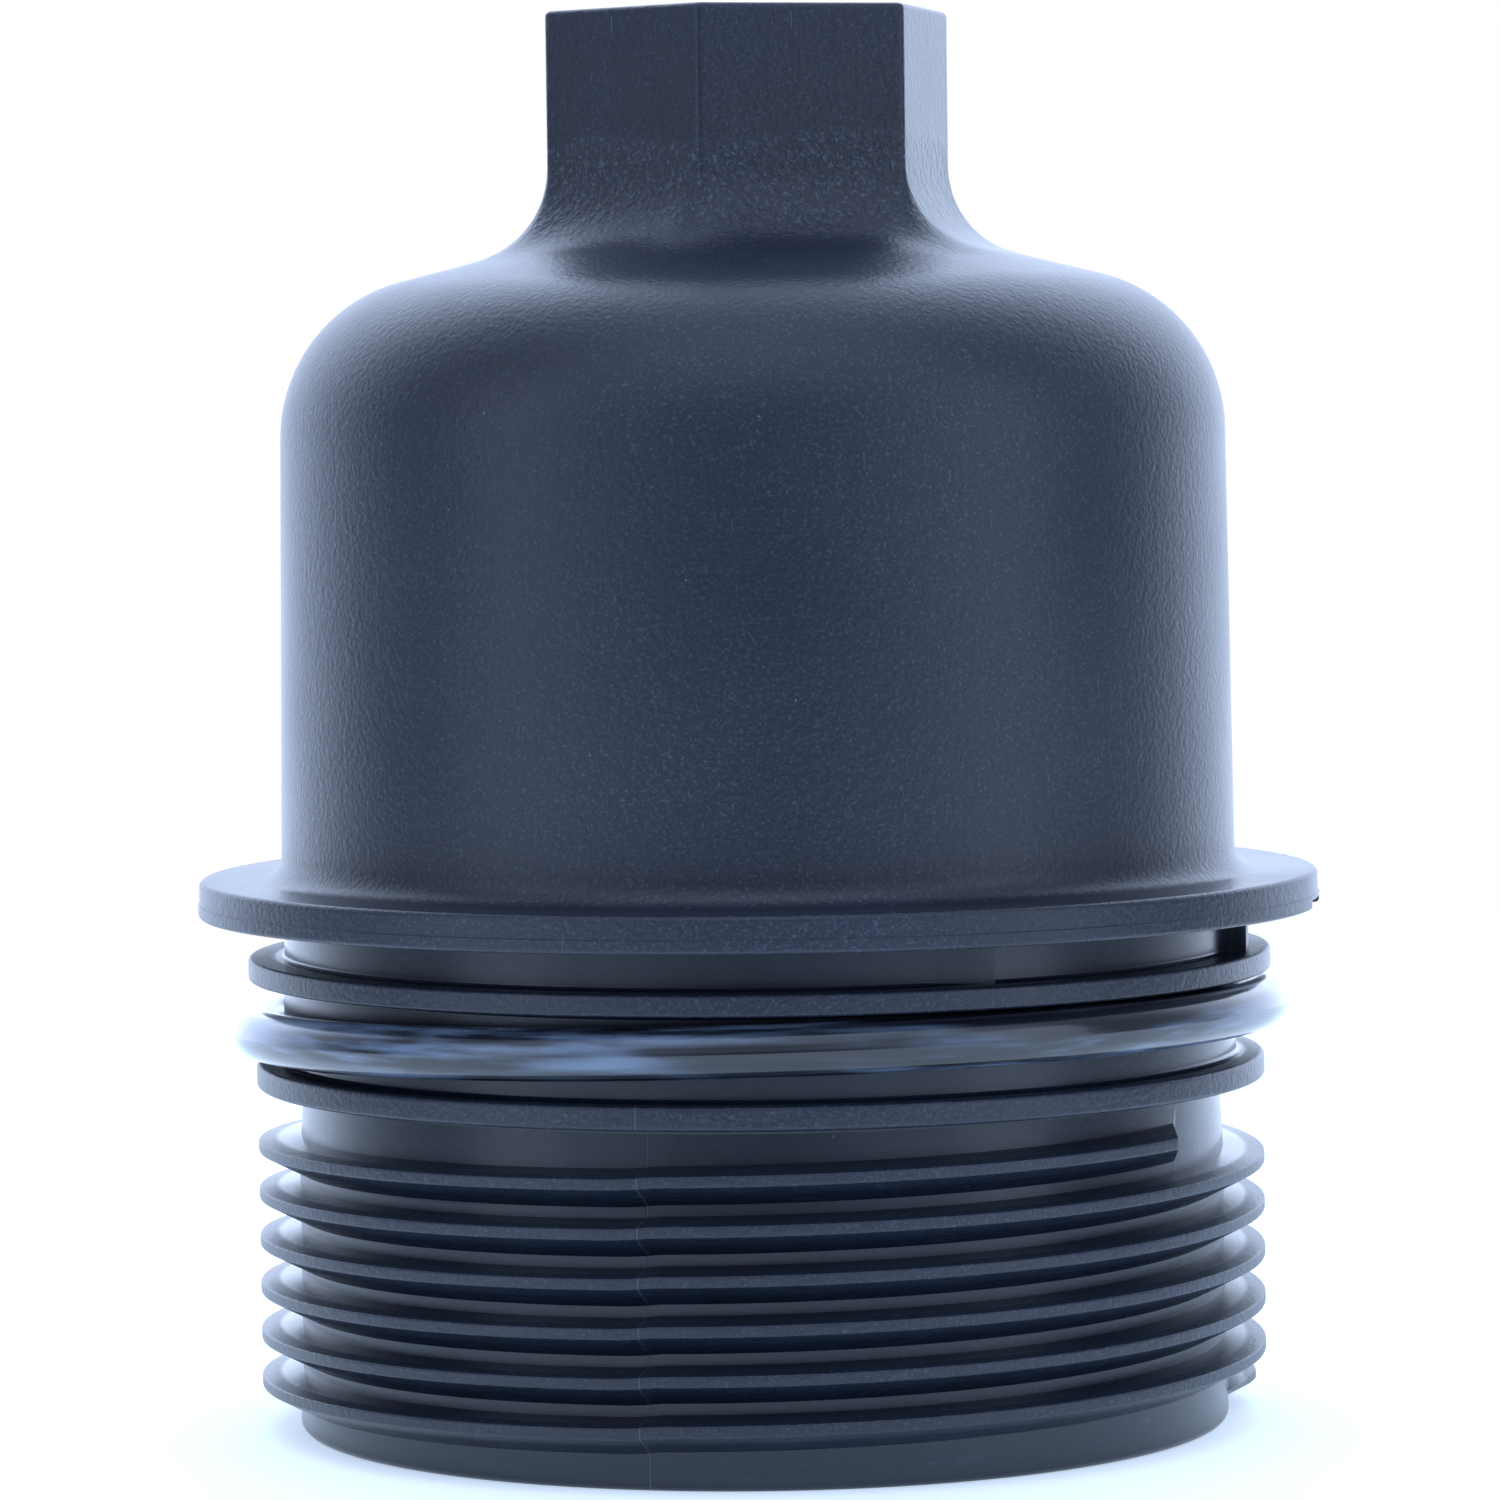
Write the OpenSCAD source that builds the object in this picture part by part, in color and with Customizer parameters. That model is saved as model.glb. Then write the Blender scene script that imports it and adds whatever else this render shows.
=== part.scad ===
// Screw cap of a cartridge oil filter, with its sealing ring, support cage,
// bypass valve and pleated cartridge. Upright on its lower rim, axis on +Z,
// origin at the centre of that rim. All sizes are in millimetres.

/* [Hex drive] */
// Width across the flats of the hex drive
hex_flats = 27; // [24:0.5:28]
// Height of the hex drive's top face above the rim
hex_top_z = 105; // [102:0.5:108]
// Turn of the hex about the axis, in degrees
hex_turn = 16.6; // [0:0.1:60]

/* [Cap body] */
// Outer radius of the barrel just above the flange
barrel_r = 35.5; // [35.2:0.1:36]
// Outer radius of the barrel where the shoulder begins
barrel_top_r = 35.1; // [34.8:0.1:35.2]
// Radius of the shoulder's rounding
shoulder_round = 12; // [10:0.5:13]
// Slope of the roof outside the hex, in degrees
roof_slope = 14; // [12:0.5:16]
// Inner radius of the cap at its mouth
cavity_r = 31.7; // [31.5:0.1:31.9]
// Inner radius of the cap at the shoulder
cavity_top_r = 31.2; // [31:0.1:31.4]

/* [Flange and seal groove] */
// Outer radius of the flange
flange_r = 41.65; // [41:0.05:42.5]
// Height of the flange's seating face above the rim
seat_z = 38.4; // [38.2:0.1:38.8]
// Thickness of the flange
flange_t = 2.7; // [2.4:0.1:3]
// Outer radius of the rib above the seal groove
upper_rib_r = 38.1; // [37.6:0.1:38.4]
// Outer radius of the rib below the seal groove
lower_rib_r = 37.6; // [37:0.1:38]
// Radius of the seal groove's floor
groove_floor_r = 35.5; // [35.2:0.1:35.6]
// Thickness of the sealing ring's cord
ring_cord = 3.9; // [3.6:0.1:4]
// Height of the sealing ring's tilt at its highest point
ring_lift = 1.05; // [0:0.05:1.1]

/* [Thread] */
// Outer radius of the thread
thread_r = 37.55; // [37:0.05:38]
// Radius of the thread's root
thread_root_r = 34.5; // [34.4:0.1:34.6]
// Pitch of the thread
thread_pitch = 3.5; // [3.4:0.05:3.5]
// Height of the crest at the thread's upper end
thread_start_z = 22.75; // [22.7:0.05:22.9]
// Outer radius of the plain spigot at the mouth
spigot_r = 34.7; // [34.6:0.1:35]

/* [Support cage] */
// Outer radius of the cage tube
cage_r = 14; // [13.8:0.1:14]
// Wall thickness of the cage tube
cage_wall = 1.6; // [1.4:0.1:1.6]
// Number of window columns round the cage tube
cage_columns = 4; // [3:1:6]
// Number of window rows below the valve
cage_rows = 4; // [3:1:5]

/* [Bypass valve] */
// Radius of the valve's opening
valve_hole_r = 7; // [6:0.1:7.2]
// Wire thickness of the valve spring
spring_wire = 1; // [0.8:0.1:1.2]
// Number of turns of the valve spring
spring_turns = 6; // [4:0.5:7]

/* [Cartridge] */
// Outer radius of the cartridge's end plates
plate_r = 30; // [29.4:0.1:30.4]
// Number of pleats in the filter medium
pleats = 48; // [36:1:60]
// Thickness of the filter medium
medium_t = 0.9; // [0.6:0.1:1]
// Radius of the housing pipe that the lower seal takes
outlet_r = 10; // [9.5:0.1:10.5]

/* [Hidden] */
$fn = 96;

plastic = [0.13, 0.15, 0.19];
dark_plastic = [0.16, 0.16, 0.17];
rubber = [0.05, 0.05, 0.06];
steel = [0.62, 0.63, 0.65];
paper = [0.86, 0.72, 0.42];
plate_plastic = [0.20, 0.21, 0.22];
glue = [0.88, 0.84, 0.72];

eps = 0.01;
gap = 0.05;
clear = 0.3;
cut = 1;

// Cap outline
hex_r = hex_flats / 2 / cos(30);
hex_chamfer = 0.6;
fillet_z = 93.5;
fillet_bite = 0.3;
fillet_sink = 1;
shoulder_z = 73.65;
shoulder_c = [barrel_top_r - shoulder_round, shoulder_z];
roof_edge = shoulder_c + shoulder_round * [sin(roof_slope), cos(roof_slope)];
roof_top_r = 10;
barrel_foot_z = 43;
flange_z = seat_z + flange_t;
flange_foot_round = 1.7;
flange_edge_round = 0.4;
lower_band_r = flange_r + 0.1;
lower_band_z = seat_z + 1;
seat_inner_r = 39.9;
seat_relief = 0.3;
upper_rib_z = [33.7, 35.35];
lower_rib_z = [25.7, 27.5];
neck_r = 35.4;
lower_neck_r = 34.2;
thread_zone_z = 22.6;
spigot_z = 4.6;
rim_round = 0.5;
arc_steps = 10;
foot_steps = 5;
edge_steps = 3;

// Cap hollow
roof_wall = 3.5;
inner_round = shoulder_round - roof_wall;
inner_top_z = 73;
inner_c = [cavity_top_r - inner_round, inner_top_z];
ceiling_z = 84.5;
ceiling_r = 12.5;
clip_bore_r = 9.9;
clip_bore_z = 101.2;
clip_groove_r = 10.9;
clip_groove_z = [88, 90.4];
roof_ribs = 8;
roof_rib_t = 1.6;
roof_rib_z = 79.5;
roof_rib_h = 5;
roof_rib_r = [14, 27];

// Details on the flange and the neck
notch_from = -13.6;
notch_to = -3;
notch_depth = 1;
notch_h = 0.7;
web_t = 1.1;
web_r = 36.9;
web_root = 1;
pad_r = 35.8;
web_turn = -13.5;
pad_turns = [-71, -62.4];

// Thread form, about the middle of the crest
crest_land = 0.8;
upper_flank = 0.35;
lower_flank = 1.55;
thread_inner_r = 34.05;
thread_start_turn = -35;
thread_fade_turn = 2111;
thread_end_turn = 2126;
thread_fade_depth = 0.14;
thread_steps = 48;

// Sealing ring
ring_ease = 0.2;
ring_mid_r = groove_floor_r + ring_ease + ring_cord / 2;
ring_z = 30.6;
ring_lift_turn = -45;

// Cage and clip collar
cage_bore_r = cage_r - cage_wall;
cage_z = [6.3, 76.15];
ledge_r = 10.4;
ledge_z = [52.5, 54.4];
window_z = [11, 50];
window_gap = 2.4;
window_column_turn = 14;
upper_window_z = [60, 66];
collar_r = 16;
collar_z = [76.2, 78.2];
skirt_r = [11, cage_bore_r - gap];
skirt_z = 70;
bead_h = 0.3;
bead_w = 1;
finger_r = [7.9, 9.55];
finger_turn = 40;
fingers = 4;
finger_shoulder_r = 11.5;
finger_shoulder_z = ceiling_z - clear;
hook_ease = 0.35;
hook_land = 0.6;
finger_hook_r = clip_groove_r - hook_ease;
finger_hook_z = [clip_groove_z[0] + clear, clip_groove_z[1] - clear];

// Bypass valve
valve_seal_t = 1.5;
valve_seal_top = collar_z[0] - bead_h - gap;
valve_seal_z = [valve_seal_top - valve_seal_t, valve_seal_top];
valve_seal_r = [3, 9.2];
valve_plate_r = 9.6;
valve_plate_t = 1.3;
valve_plate_z = valve_seal_z[0] - valve_plate_t;
valve_boss_drop = 0.4;
valve_boss_z = valve_seal_top - valve_boss_drop;
stem_r = 2;
stem_foot_z = 50;
stem_tip = 0.5;
seat_hub_r = 3.8;
spring_foot_z = 57;
seat_hub_z = [52, spring_foot_z];
seat_rim_r = [9.9, cage_bore_r - gap];
seat_rim_z = [ledge_z[1] + gap, spring_foot_z];
seat_arms = 4;
seat_arm_t = 2.2;
seat_arm_bite = 0.5;
seat_land_r = [4.8, 7.4];
seat_land_z = 56;
spring_mid_r = 6.1;
spring_z = [spring_foot_z + gap, valve_plate_z - gap];
spring_sides = 8;
spring_steps = 20;

// Cartridge
plate_t = 2;
plate_rim = 3;
plate_rim_t = 1;
bore_clear_r = cage_r + clear;
inner_rim_r = 15.3;
lower_plate_z = 4;
upper_plate_z = 69;
seal_hub_t = 1.5;
lower_hub_r = 12.6;
lower_hub_z = 1;
upper_hub_r = 16.05;
upper_hub_z = 75.2;
seal_lip_z = [1.2, 5];
lip_back = 0.6;
lower_lip_r = outlet_r + lip_back;
glue_t = 1.2;
medium_r = [15.8, 28.6];
medium_z = [
    lower_plate_z + plate_t + glue_t + 2 * gap,
    upper_plate_z - glue_t - 2 * gap
];
seam_turn = 90;
seam_w = 3;
seam_t = 0.5;
seam_z = [
    lower_plate_z + plate_t + plate_rim + gap,
    upper_plate_z - plate_rim - gap
];
bead_break = 3.5;
bead_out_r = 29.3;
bead_in_r = 28.65;
bead_height = 1.6;
bead_heights = [20, 37.5, 55];

function arc_points(c, r, from, to, n) = [
    for (i = [0 : n]) let (a = from + (to - from) * i / n) c + r * [cos(a), sin(a)]
];

function helix_fade(turn) = turn < thread_fade_turn
    ? 1
    : 1 - (1 - thread_fade_depth) * (turn - thread_fade_turn)
        / (thread_end_turn - thread_fade_turn);

// The thread's cross-section as [radius, height] points, faded by s.
function thread_section(s) =
    let (
        deep = (thread_root_r - thread_inner_r) / (thread_r - thread_root_r),
        tip = thread_inner_r + (thread_r - thread_inner_r) * s,
        top = crest_land / 2,
        up = upper_flank * (1 + deep),
        down = lower_flank * (1 + deep)
    )
    [
        [thread_inner_r, -top - down * s],
        [tip, -top],
        [tip, top],
        [thread_inner_r, top + up * s]
    ];

// Faces of a swept tube: rings of n points, closed at both ends.
function tube_faces(rings, n) = concat(
    [[for (j = [0 : n - 1]) j]],
    [
        for (i = [0 : rings - 2]) for (j = [0 : n - 1])
            let (k = (j + 1) % n)
            [i * n + j, (i + 1) * n + j, (i + 1) * n + k, i * n + k]
    ],
    [[for (j = [n - 1 : -1 : 0]) (rings - 1) * n + j]]
);

// Height of the roof's cone at radius r.
function roof_z(r) = roof_edge[1] + (roof_edge[0] - r) * tan(roof_slope);

// Radius of the hollow rounding that leads from radius foot down to the roof.
function fillet_round(foot) =
    fillet_bite + (fillet_z - roof_z(foot)) * cos(roof_slope) / (1 - sin(roof_slope));

// Half of the hex drive's outline, from its top down into the roof.
function hex_side(foot, edge) = let (bend = fillet_round(foot)) concat(
    [[foot - edge, hex_top_z], [foot, hex_top_z - edge]],
    arc_points([foot + bend, fillet_z], bend, 180, 270 - roof_slope, arc_steps),
    [[foot + bend, roof_edge[1] - fillet_sink]]
);

module ring(r_in, r_out, z0, z1) {
    translate([0, 0, z0])
        difference() {
            cylinder(r = r_out, h = z1 - z0);
            translate([0, 0, -cut])
                cylinder(r = r_in, h = z1 - z0 + 2 * cut);
        }
}

// A ring's stretch between two turns about the axis, in degrees.
module ring_stretch(r_in, r_out, z0, z1, from, to) {
    rotate([0, 0, from])
        rotate_extrude(angle = to - from)
            translate([r_in, z0])
                square([r_out - r_in, z1 - z0]);
}

module cap_outline() {
    polygon(concat(
        [[0, roof_z(roof_top_r)], [roof_top_r, roof_z(roof_top_r)]],
        arc_points(shoulder_c, shoulder_round, 90 - roof_slope, 0, 2 * arc_steps),
        [[barrel_r, barrel_foot_z]],
        arc_points(
            [barrel_r + flange_foot_round, flange_z + flange_foot_round],
            flange_foot_round, 180, 270, foot_steps
        ),
        arc_points(
            [flange_r - flange_edge_round, flange_z - flange_edge_round],
            flange_edge_round, 90, 0, edge_steps
        ),
        [
            [flange_r, lower_band_z],
            [lower_band_r, lower_band_z],
            [lower_band_r, seat_z],
            [seat_inner_r, seat_z],
            [seat_inner_r, seat_z + seat_relief],
            [neck_r, seat_z + seat_relief],
            [neck_r, upper_rib_z[1]],
            [upper_rib_r, upper_rib_z[1]],
            [upper_rib_r, upper_rib_z[0]],
            [groove_floor_r, upper_rib_z[0]],
            [groove_floor_r, lower_rib_z[1]],
            [lower_rib_r, lower_rib_z[1]],
            [lower_rib_r, lower_rib_z[0]],
            [lower_neck_r, lower_rib_z[0]],
            [lower_neck_r, thread_zone_z],
            [thread_root_r, thread_zone_z],
            [thread_root_r, spigot_z],
            [spigot_r, spigot_z]
        ],
        arc_points([spigot_r - rim_round, rim_round], rim_round, 0, -90, edge_steps),
        [[0, 0]]
    ));
}

module cap_hollow_outline() {
    polygon(concat(
        [
            [0, -cut],
            [cavity_r, -cut],
            [cavity_r, 0]
        ],
        arc_points(inner_c, inner_round, 0, 90 - roof_slope, arc_steps),
        [
            [ceiling_r, ceiling_z],
            [clip_bore_r, ceiling_z],
            [clip_bore_r, clip_groove_z[0]],
            [clip_groove_r, clip_groove_z[0]],
            [clip_groove_r, clip_groove_z[1]],
            [clip_bore_r, clip_groove_z[1]],
            [clip_bore_r, clip_bore_z],
            [0, clip_bore_z]
        ]
    ));
}

module hex_drive() {
    side = hex_side(hex_flats / 2, 0);
    corner = hex_side(hex_r, hex_chamfer);
    intersection() {
        intersection_for (i = [0 : 2])
            rotate([0, 0, hex_turn + 30 + i * 60])
                rotate([90, 0, 0])
                    translate([0, 0, -barrel_r])
                        linear_extrude(height = 2 * barrel_r)
                            polygon(concat(side, [
                                for (k = [len(side) - 1 : -1 : 0])
                                    [-side[k][0], side[k][1]]
                            ]));
        rotate_extrude()
            polygon(concat(
                corner,
                [[0, roof_edge[1] - fillet_sink], [0, hex_top_z]]
            ));
    }
}

module cap_thread() {
    rings = floor(thread_end_turn / 360 * thread_steps) + 1;
    points = [
        for (i = [0 : rings - 1])
            let (
                turn = min(i * 360 / thread_steps, thread_end_turn),
                a = thread_start_turn - turn,
                z = thread_start_z - thread_pitch * turn / 360
            )
            for (p = thread_section(helix_fade(turn)))
                [p[0] * cos(a), p[0] * sin(a), z + p[1]]
    ];
    polyhedron(points = points, faces = tube_faces(rings, 4));
}

module neck_web_and_pad() {
    rotate([0, 0, web_turn])
        translate([neck_r - web_root, -web_t / 2, upper_rib_z[1] - eps])
            cube([
                web_r - neck_r + web_root,
                web_t,
                seat_z + seat_relief - upper_rib_z[1] + 2 * eps
            ]);
    ring_stretch(
        neck_r - web_root, pad_r, upper_rib_z[1] - eps,
        seat_z + seat_relief + eps, pad_turns[0], pad_turns[1]
    );
}

module roof_rib_set() {
    for (i = [0 : roof_ribs - 1])
        rotate([0, 0, (i + 0.5) * 360 / roof_ribs])
            translate([roof_rib_r[0], -roof_rib_t / 2, roof_rib_z])
                cube([roof_rib_r[1] - roof_rib_r[0], roof_rib_t, roof_rib_h]);
}

module cap_shell() {
    color(plastic) {
        difference() {
            union() {
                rotate_extrude()
                    cap_outline();
                hex_drive();
            }
            difference() {
                rotate_extrude()
                    cap_hollow_outline();
                roof_rib_set();
            }
            ring_stretch(
                flange_r - notch_depth, flange_r + cut, seat_z - cut,
                seat_z + notch_h, notch_from, notch_to
            );
        }
        neck_web_and_pad();
        cap_thread();
    }
}

module cap_sealing_ring() {
    color(rubber)
        translate([0, 0, ring_z])
            rotate([0, 0, ring_lift_turn])
                rotate([0, -asin(ring_lift / ring_mid_r), 0])
                    rotate_extrude()
                        translate([ring_mid_r, 0])
                            circle(d = ring_cord);
}

module collar_finger() {
    ring_stretch(
        finger_r[0], finger_shoulder_r, collar_z[1] - eps,
        finger_shoulder_z, -finger_turn / 2, finger_turn / 2
    );
    ring_stretch(
        finger_r[0], finger_r[1], finger_shoulder_z - eps,
        finger_hook_z[1], -finger_turn / 2, finger_turn / 2
    );
    rotate([0, 0, -finger_turn / 2])
        rotate_extrude(angle = finger_turn)
            polygon([
                [finger_r[1] - eps, finger_hook_z[0]],
                [finger_hook_r, finger_hook_z[0]],
                [finger_hook_r, finger_hook_z[0] + hook_land],
                [finger_r[1] - eps, finger_hook_z[1]]
            ]);
}

module clip_collar() {
    color(dark_plastic) {
        ring(valve_hole_r, collar_r, collar_z[0], collar_z[1]);
        ring(skirt_r[0], skirt_r[1], skirt_z, collar_z[0] + eps);
        ring(valve_hole_r, valve_hole_r + bead_w, collar_z[0] - bead_h, collar_z[0] + eps);
        for (i = [0 : fingers - 1])
            rotate([0, 0, (i + 0.5) * 360 / fingers])
                collar_finger();
    }
}

module cage_window_row(z0, z1) {
    width = 360 / cage_columns - window_column_turn;
    for (i = [0 : cage_columns - 1])
        ring_stretch(
            cage_bore_r - cut, cage_r + cut, z0, z1,
            i * 360 / cage_columns + window_column_turn / 2,
            i * 360 / cage_columns + window_column_turn / 2 + width
        );
}

module cage_tube() {
    row = (window_z[1] - window_z[0] + window_gap) / cage_rows;
    color(dark_plastic) {
        difference() {
            ring(cage_bore_r, cage_r, cage_z[0], cage_z[1]);
            for (i = [0 : cage_rows - 1])
                cage_window_row(
                    window_z[0] + i * row, window_z[0] + (i + 1) * row - window_gap
                );
            cage_window_row(upper_window_z[0], upper_window_z[1]);
        }
        ring(ledge_r, cage_bore_r + eps, ledge_z[0], ledge_z[1]);
    }
}

module spring_seat() {
    color(dark_plastic) {
        ring(stem_r + 2 * gap, seat_hub_r, seat_hub_z[0], seat_hub_z[1]);
        ring(seat_rim_r[0], seat_rim_r[1], seat_rim_z[0], seat_rim_z[1]);
        ring(seat_land_r[0], seat_land_r[1], seat_land_z, seat_rim_z[1]);
        for (i = [0 : seat_arms - 1])
            rotate([0, 0, i * 360 / seat_arms])
                translate([seat_hub_r - seat_arm_bite, -seat_arm_t / 2, seat_rim_z[0]])
                    cube([
                        seat_rim_r[0] - seat_hub_r + 2 * seat_arm_bite,
                        seat_arm_t,
                        seat_rim_z[1] - seat_rim_z[0]
                    ]);
    }
}

module valve_plate() {
    color(steel)
        rotate_extrude()
            polygon([
                [0, stem_foot_z],
                [stem_r - stem_tip, stem_foot_z],
                [stem_r, stem_foot_z + stem_tip],
                [stem_r, valve_plate_z],
                [valve_plate_r, valve_plate_z],
                [valve_plate_r, valve_seal_z[0]],
                [valve_seal_r[0] - gap, valve_seal_z[0]],
                [valve_seal_r[0] - gap, valve_boss_z],
                [0, valve_boss_z]
            ]);
}

module valve_seal() {
    color(rubber)
        ring(valve_seal_r[0], valve_seal_r[1], valve_seal_z[0] + eps, valve_seal_z[1]);
}

module valve_spring() {
    wire = spring_wire / 2;
    low = spring_z[0] + wire;
    high = spring_z[1] - wire;
    rings = floor(spring_turns * spring_steps) + 1;
    points = [
        for (i = [0 : rings - 1])
            let (
                a = i * 360 / spring_steps,
                z = low + (high - low) * i / (rings - 1)
            )
            for (j = [0 : spring_sides - 1])
                let (
                    b = j * 360 / spring_sides,
                    r = spring_mid_r + wire * cos(b)
                )
                [r * cos(a), r * sin(a), z - wire * sin(b)]
    ];
    color(steel)
        polyhedron(points = points, faces = tube_faces(rings, spring_sides));
}

module upper_end_plate() {
    top = upper_plate_z + plate_t;
    color(plate_plastic)
        rotate_extrude()
            polygon([
                [bore_clear_r, upper_plate_z - plate_rim],
                [inner_rim_r, upper_plate_z - plate_rim],
                [inner_rim_r, upper_plate_z],
                [plate_r - plate_rim_t, upper_plate_z],
                [plate_r - plate_rim_t, upper_plate_z - plate_rim],
                [plate_r, upper_plate_z - plate_rim],
                [plate_r, top],
                [upper_hub_r + seal_hub_t, top],
                [upper_hub_r + seal_hub_t, upper_hub_z],
                [upper_hub_r, upper_hub_z],
                [upper_hub_r, top],
                [bore_clear_r, top]
            ]);
}

module lower_end_plate() {
    top = lower_plate_z + plate_t;
    color(plate_plastic)
        rotate_extrude()
            polygon([
                [lower_lip_r, seal_lip_z[1]],
                [lower_hub_r, seal_lip_z[1]],
                [lower_hub_r, lower_hub_z],
                [lower_hub_r + seal_hub_t, lower_hub_z],
                [lower_hub_r + seal_hub_t, lower_plate_z],
                [plate_r, lower_plate_z],
                [plate_r, top + plate_rim],
                [plate_r - plate_rim_t, top + plate_rim],
                [plate_r - plate_rim_t, top],
                [inner_rim_r, top],
                [inner_rim_r, top + plate_rim],
                [bore_clear_r, top + plate_rim],
                [bore_clear_r, top],
                [lower_lip_r, top]
            ]);
}

module upper_seal() {
    color(rubber)
        ring(
            cage_r + 2 * gap, upper_hub_r - gap,
            upper_plate_z + plate_t + gap, upper_hub_z - clear
        );
}

module lower_seal() {
    color(rubber)
        ring(outlet_r, lower_hub_r - gap, seal_lip_z[0], seal_lip_z[1] - gap);
}

module filter_medium() {
    pitch = 180 / pleats;
    half = medium_t / 2;
    fold = half / cos(pitch);
    color(paper)
        translate([0, 0, medium_z[0]])
            linear_extrude(height = medium_z[1] - medium_z[0])
                difference() {
                    polygon([
                        for (i = [0 : 2 * pleats - 1])
                            let (r = i % 2 == 0 ? medium_r[1] : medium_r[0] + 2 * fold)
                            r * [cos(i * pitch), sin(i * pitch)]
                    ]);
                    polygon([
                        for (i = [0 : 2 * pleats - 1])
                            let (r = i % 2 == 0 ? medium_r[1] - 4 * fold : medium_r[0])
                            r * [cos(i * pitch), sin(i * pitch)]
                    ]);
                }
}

module medium_seam() {
    color(glue)
        rotate([0, 0, seam_turn])
            translate([medium_r[1] + gap, -seam_w / 2, seam_z[0]])
                cube([seam_t, seam_w, seam_z[1] - seam_z[0]]);
}

module upper_glue_bed() {
    color(glue)
        ring(
            inner_rim_r + gap, plate_r - plate_rim_t - gap,
            upper_plate_z - gap - glue_t, upper_plate_z - gap
        );
}

module lower_glue_bed() {
    z0 = lower_plate_z + plate_t + gap;
    color(glue)
        ring(inner_rim_r + gap, plate_r - plate_rim_t - gap, z0, z0 + glue_t);
}

// A bead of glue round the pleats' tips, broken where the seam strip runs.
module pleat_bead(z) {
    color(glue)
        ring_stretch(
            bead_in_r, bead_out_r, z - bead_height / 2, z + bead_height / 2,
            seam_turn + bead_break, seam_turn + 360 - bead_break
        );
}

module upper_pleat_bead() {
    pleat_bead(bead_heights[2]);
}

module middle_pleat_bead() {
    pleat_bead(bead_heights[1]);
}

module lower_pleat_bead() {
    pleat_bead(bead_heights[0]);
}

cap_shell();
cap_sealing_ring();
clip_collar();
cage_tube();
spring_seat();
valve_plate();
valve_seal();
valve_spring();
upper_end_plate();
lower_end_plate();
upper_seal();
lower_seal();
filter_medium();
medium_seam();
upper_glue_bed();
lower_glue_bed();
upper_pleat_bead();
middle_pleat_bead();
lower_pleat_bead();
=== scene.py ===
"""Studio scene of a screw cap for a cartridge oil filter, with its sealing ring,
support cage, bypass valve and pleated cartridge. Lengths are in metres."""

import math

import bmesh
import bpy
from bpy.props import FloatProperty, FloatVectorProperty, IntProperty, PointerProperty
from mathutils import Matrix, Vector


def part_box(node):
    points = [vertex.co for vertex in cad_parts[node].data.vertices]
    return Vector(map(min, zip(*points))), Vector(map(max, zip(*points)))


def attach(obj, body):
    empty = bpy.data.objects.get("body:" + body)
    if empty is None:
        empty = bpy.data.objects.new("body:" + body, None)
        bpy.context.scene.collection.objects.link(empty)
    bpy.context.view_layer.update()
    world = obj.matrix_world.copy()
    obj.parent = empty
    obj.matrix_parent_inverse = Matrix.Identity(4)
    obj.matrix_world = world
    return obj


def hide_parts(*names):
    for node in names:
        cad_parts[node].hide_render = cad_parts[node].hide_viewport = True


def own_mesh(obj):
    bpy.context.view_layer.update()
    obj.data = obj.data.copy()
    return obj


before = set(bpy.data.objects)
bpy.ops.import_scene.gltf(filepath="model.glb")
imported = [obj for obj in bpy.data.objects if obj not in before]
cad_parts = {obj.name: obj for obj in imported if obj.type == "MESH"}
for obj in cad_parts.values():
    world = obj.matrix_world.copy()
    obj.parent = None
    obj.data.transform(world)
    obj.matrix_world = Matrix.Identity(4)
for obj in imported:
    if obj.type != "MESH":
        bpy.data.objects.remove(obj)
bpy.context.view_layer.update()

bl_info = {
    "name": "Oil Filter Cap",
    "version": (1, 0, 0),
    "blender": (4, 5, 0),
    "location": "View3D > Sidebar > Filter Cap",
    "description": "Builds the detailed pieces of a cartridge filter's screw cap",
    "category": "Object",
}

MM = 0.001
TURN = 2 * math.pi

# Heights along the cap's axis, from its rim, and radii that the sizes don't give
CAP_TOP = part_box("cap_shell")[1].z
BAND_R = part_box("cap_shell")[1].x
SPIGOT_R = 34.7 * MM
SPIGOT_TOP = 4.6 * MM
THREAD_TOP = 22.6 * MM
LOWER_NECK_R = 34.2 * MM
LOWER_RIB = (25.7 * MM, 27.5 * MM)
LOWER_RIB_R = 37.6 * MM
GROOVE_R = 35.5 * MM
UPPER_RIB = (33.7 * MM, 35.35 * MM)
UPPER_RIB_R = 38.1 * MM
NECK_R = 35.4 * MM
SEAT_Z = 38.4 * MM
SEAT_INNER_R = 39.9 * MM
SEAT_RELIEF = 0.3 * MM
BAND_TOP = SEAT_Z + 1 * MM
FLANGE_TOP = SEAT_Z + 2.7 * MM
BARREL_FOOT = 43 * MM
SHOULDER_Z = 73.65 * MM
FILLET_Z = 93.5 * MM
CEILING_Z = 84.5 * MM
CEILING_R = 12.5 * MM
CLIP_BORE_R = 9.9 * MM
CLIP_BORE_TOP = 101.2 * MM
CLIP_GROOVE = (88 * MM, 90.4 * MM)
CLIP_GROOVE_R = 10.9 * MM
ROUND_STEP = math.radians(22.5)
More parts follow.
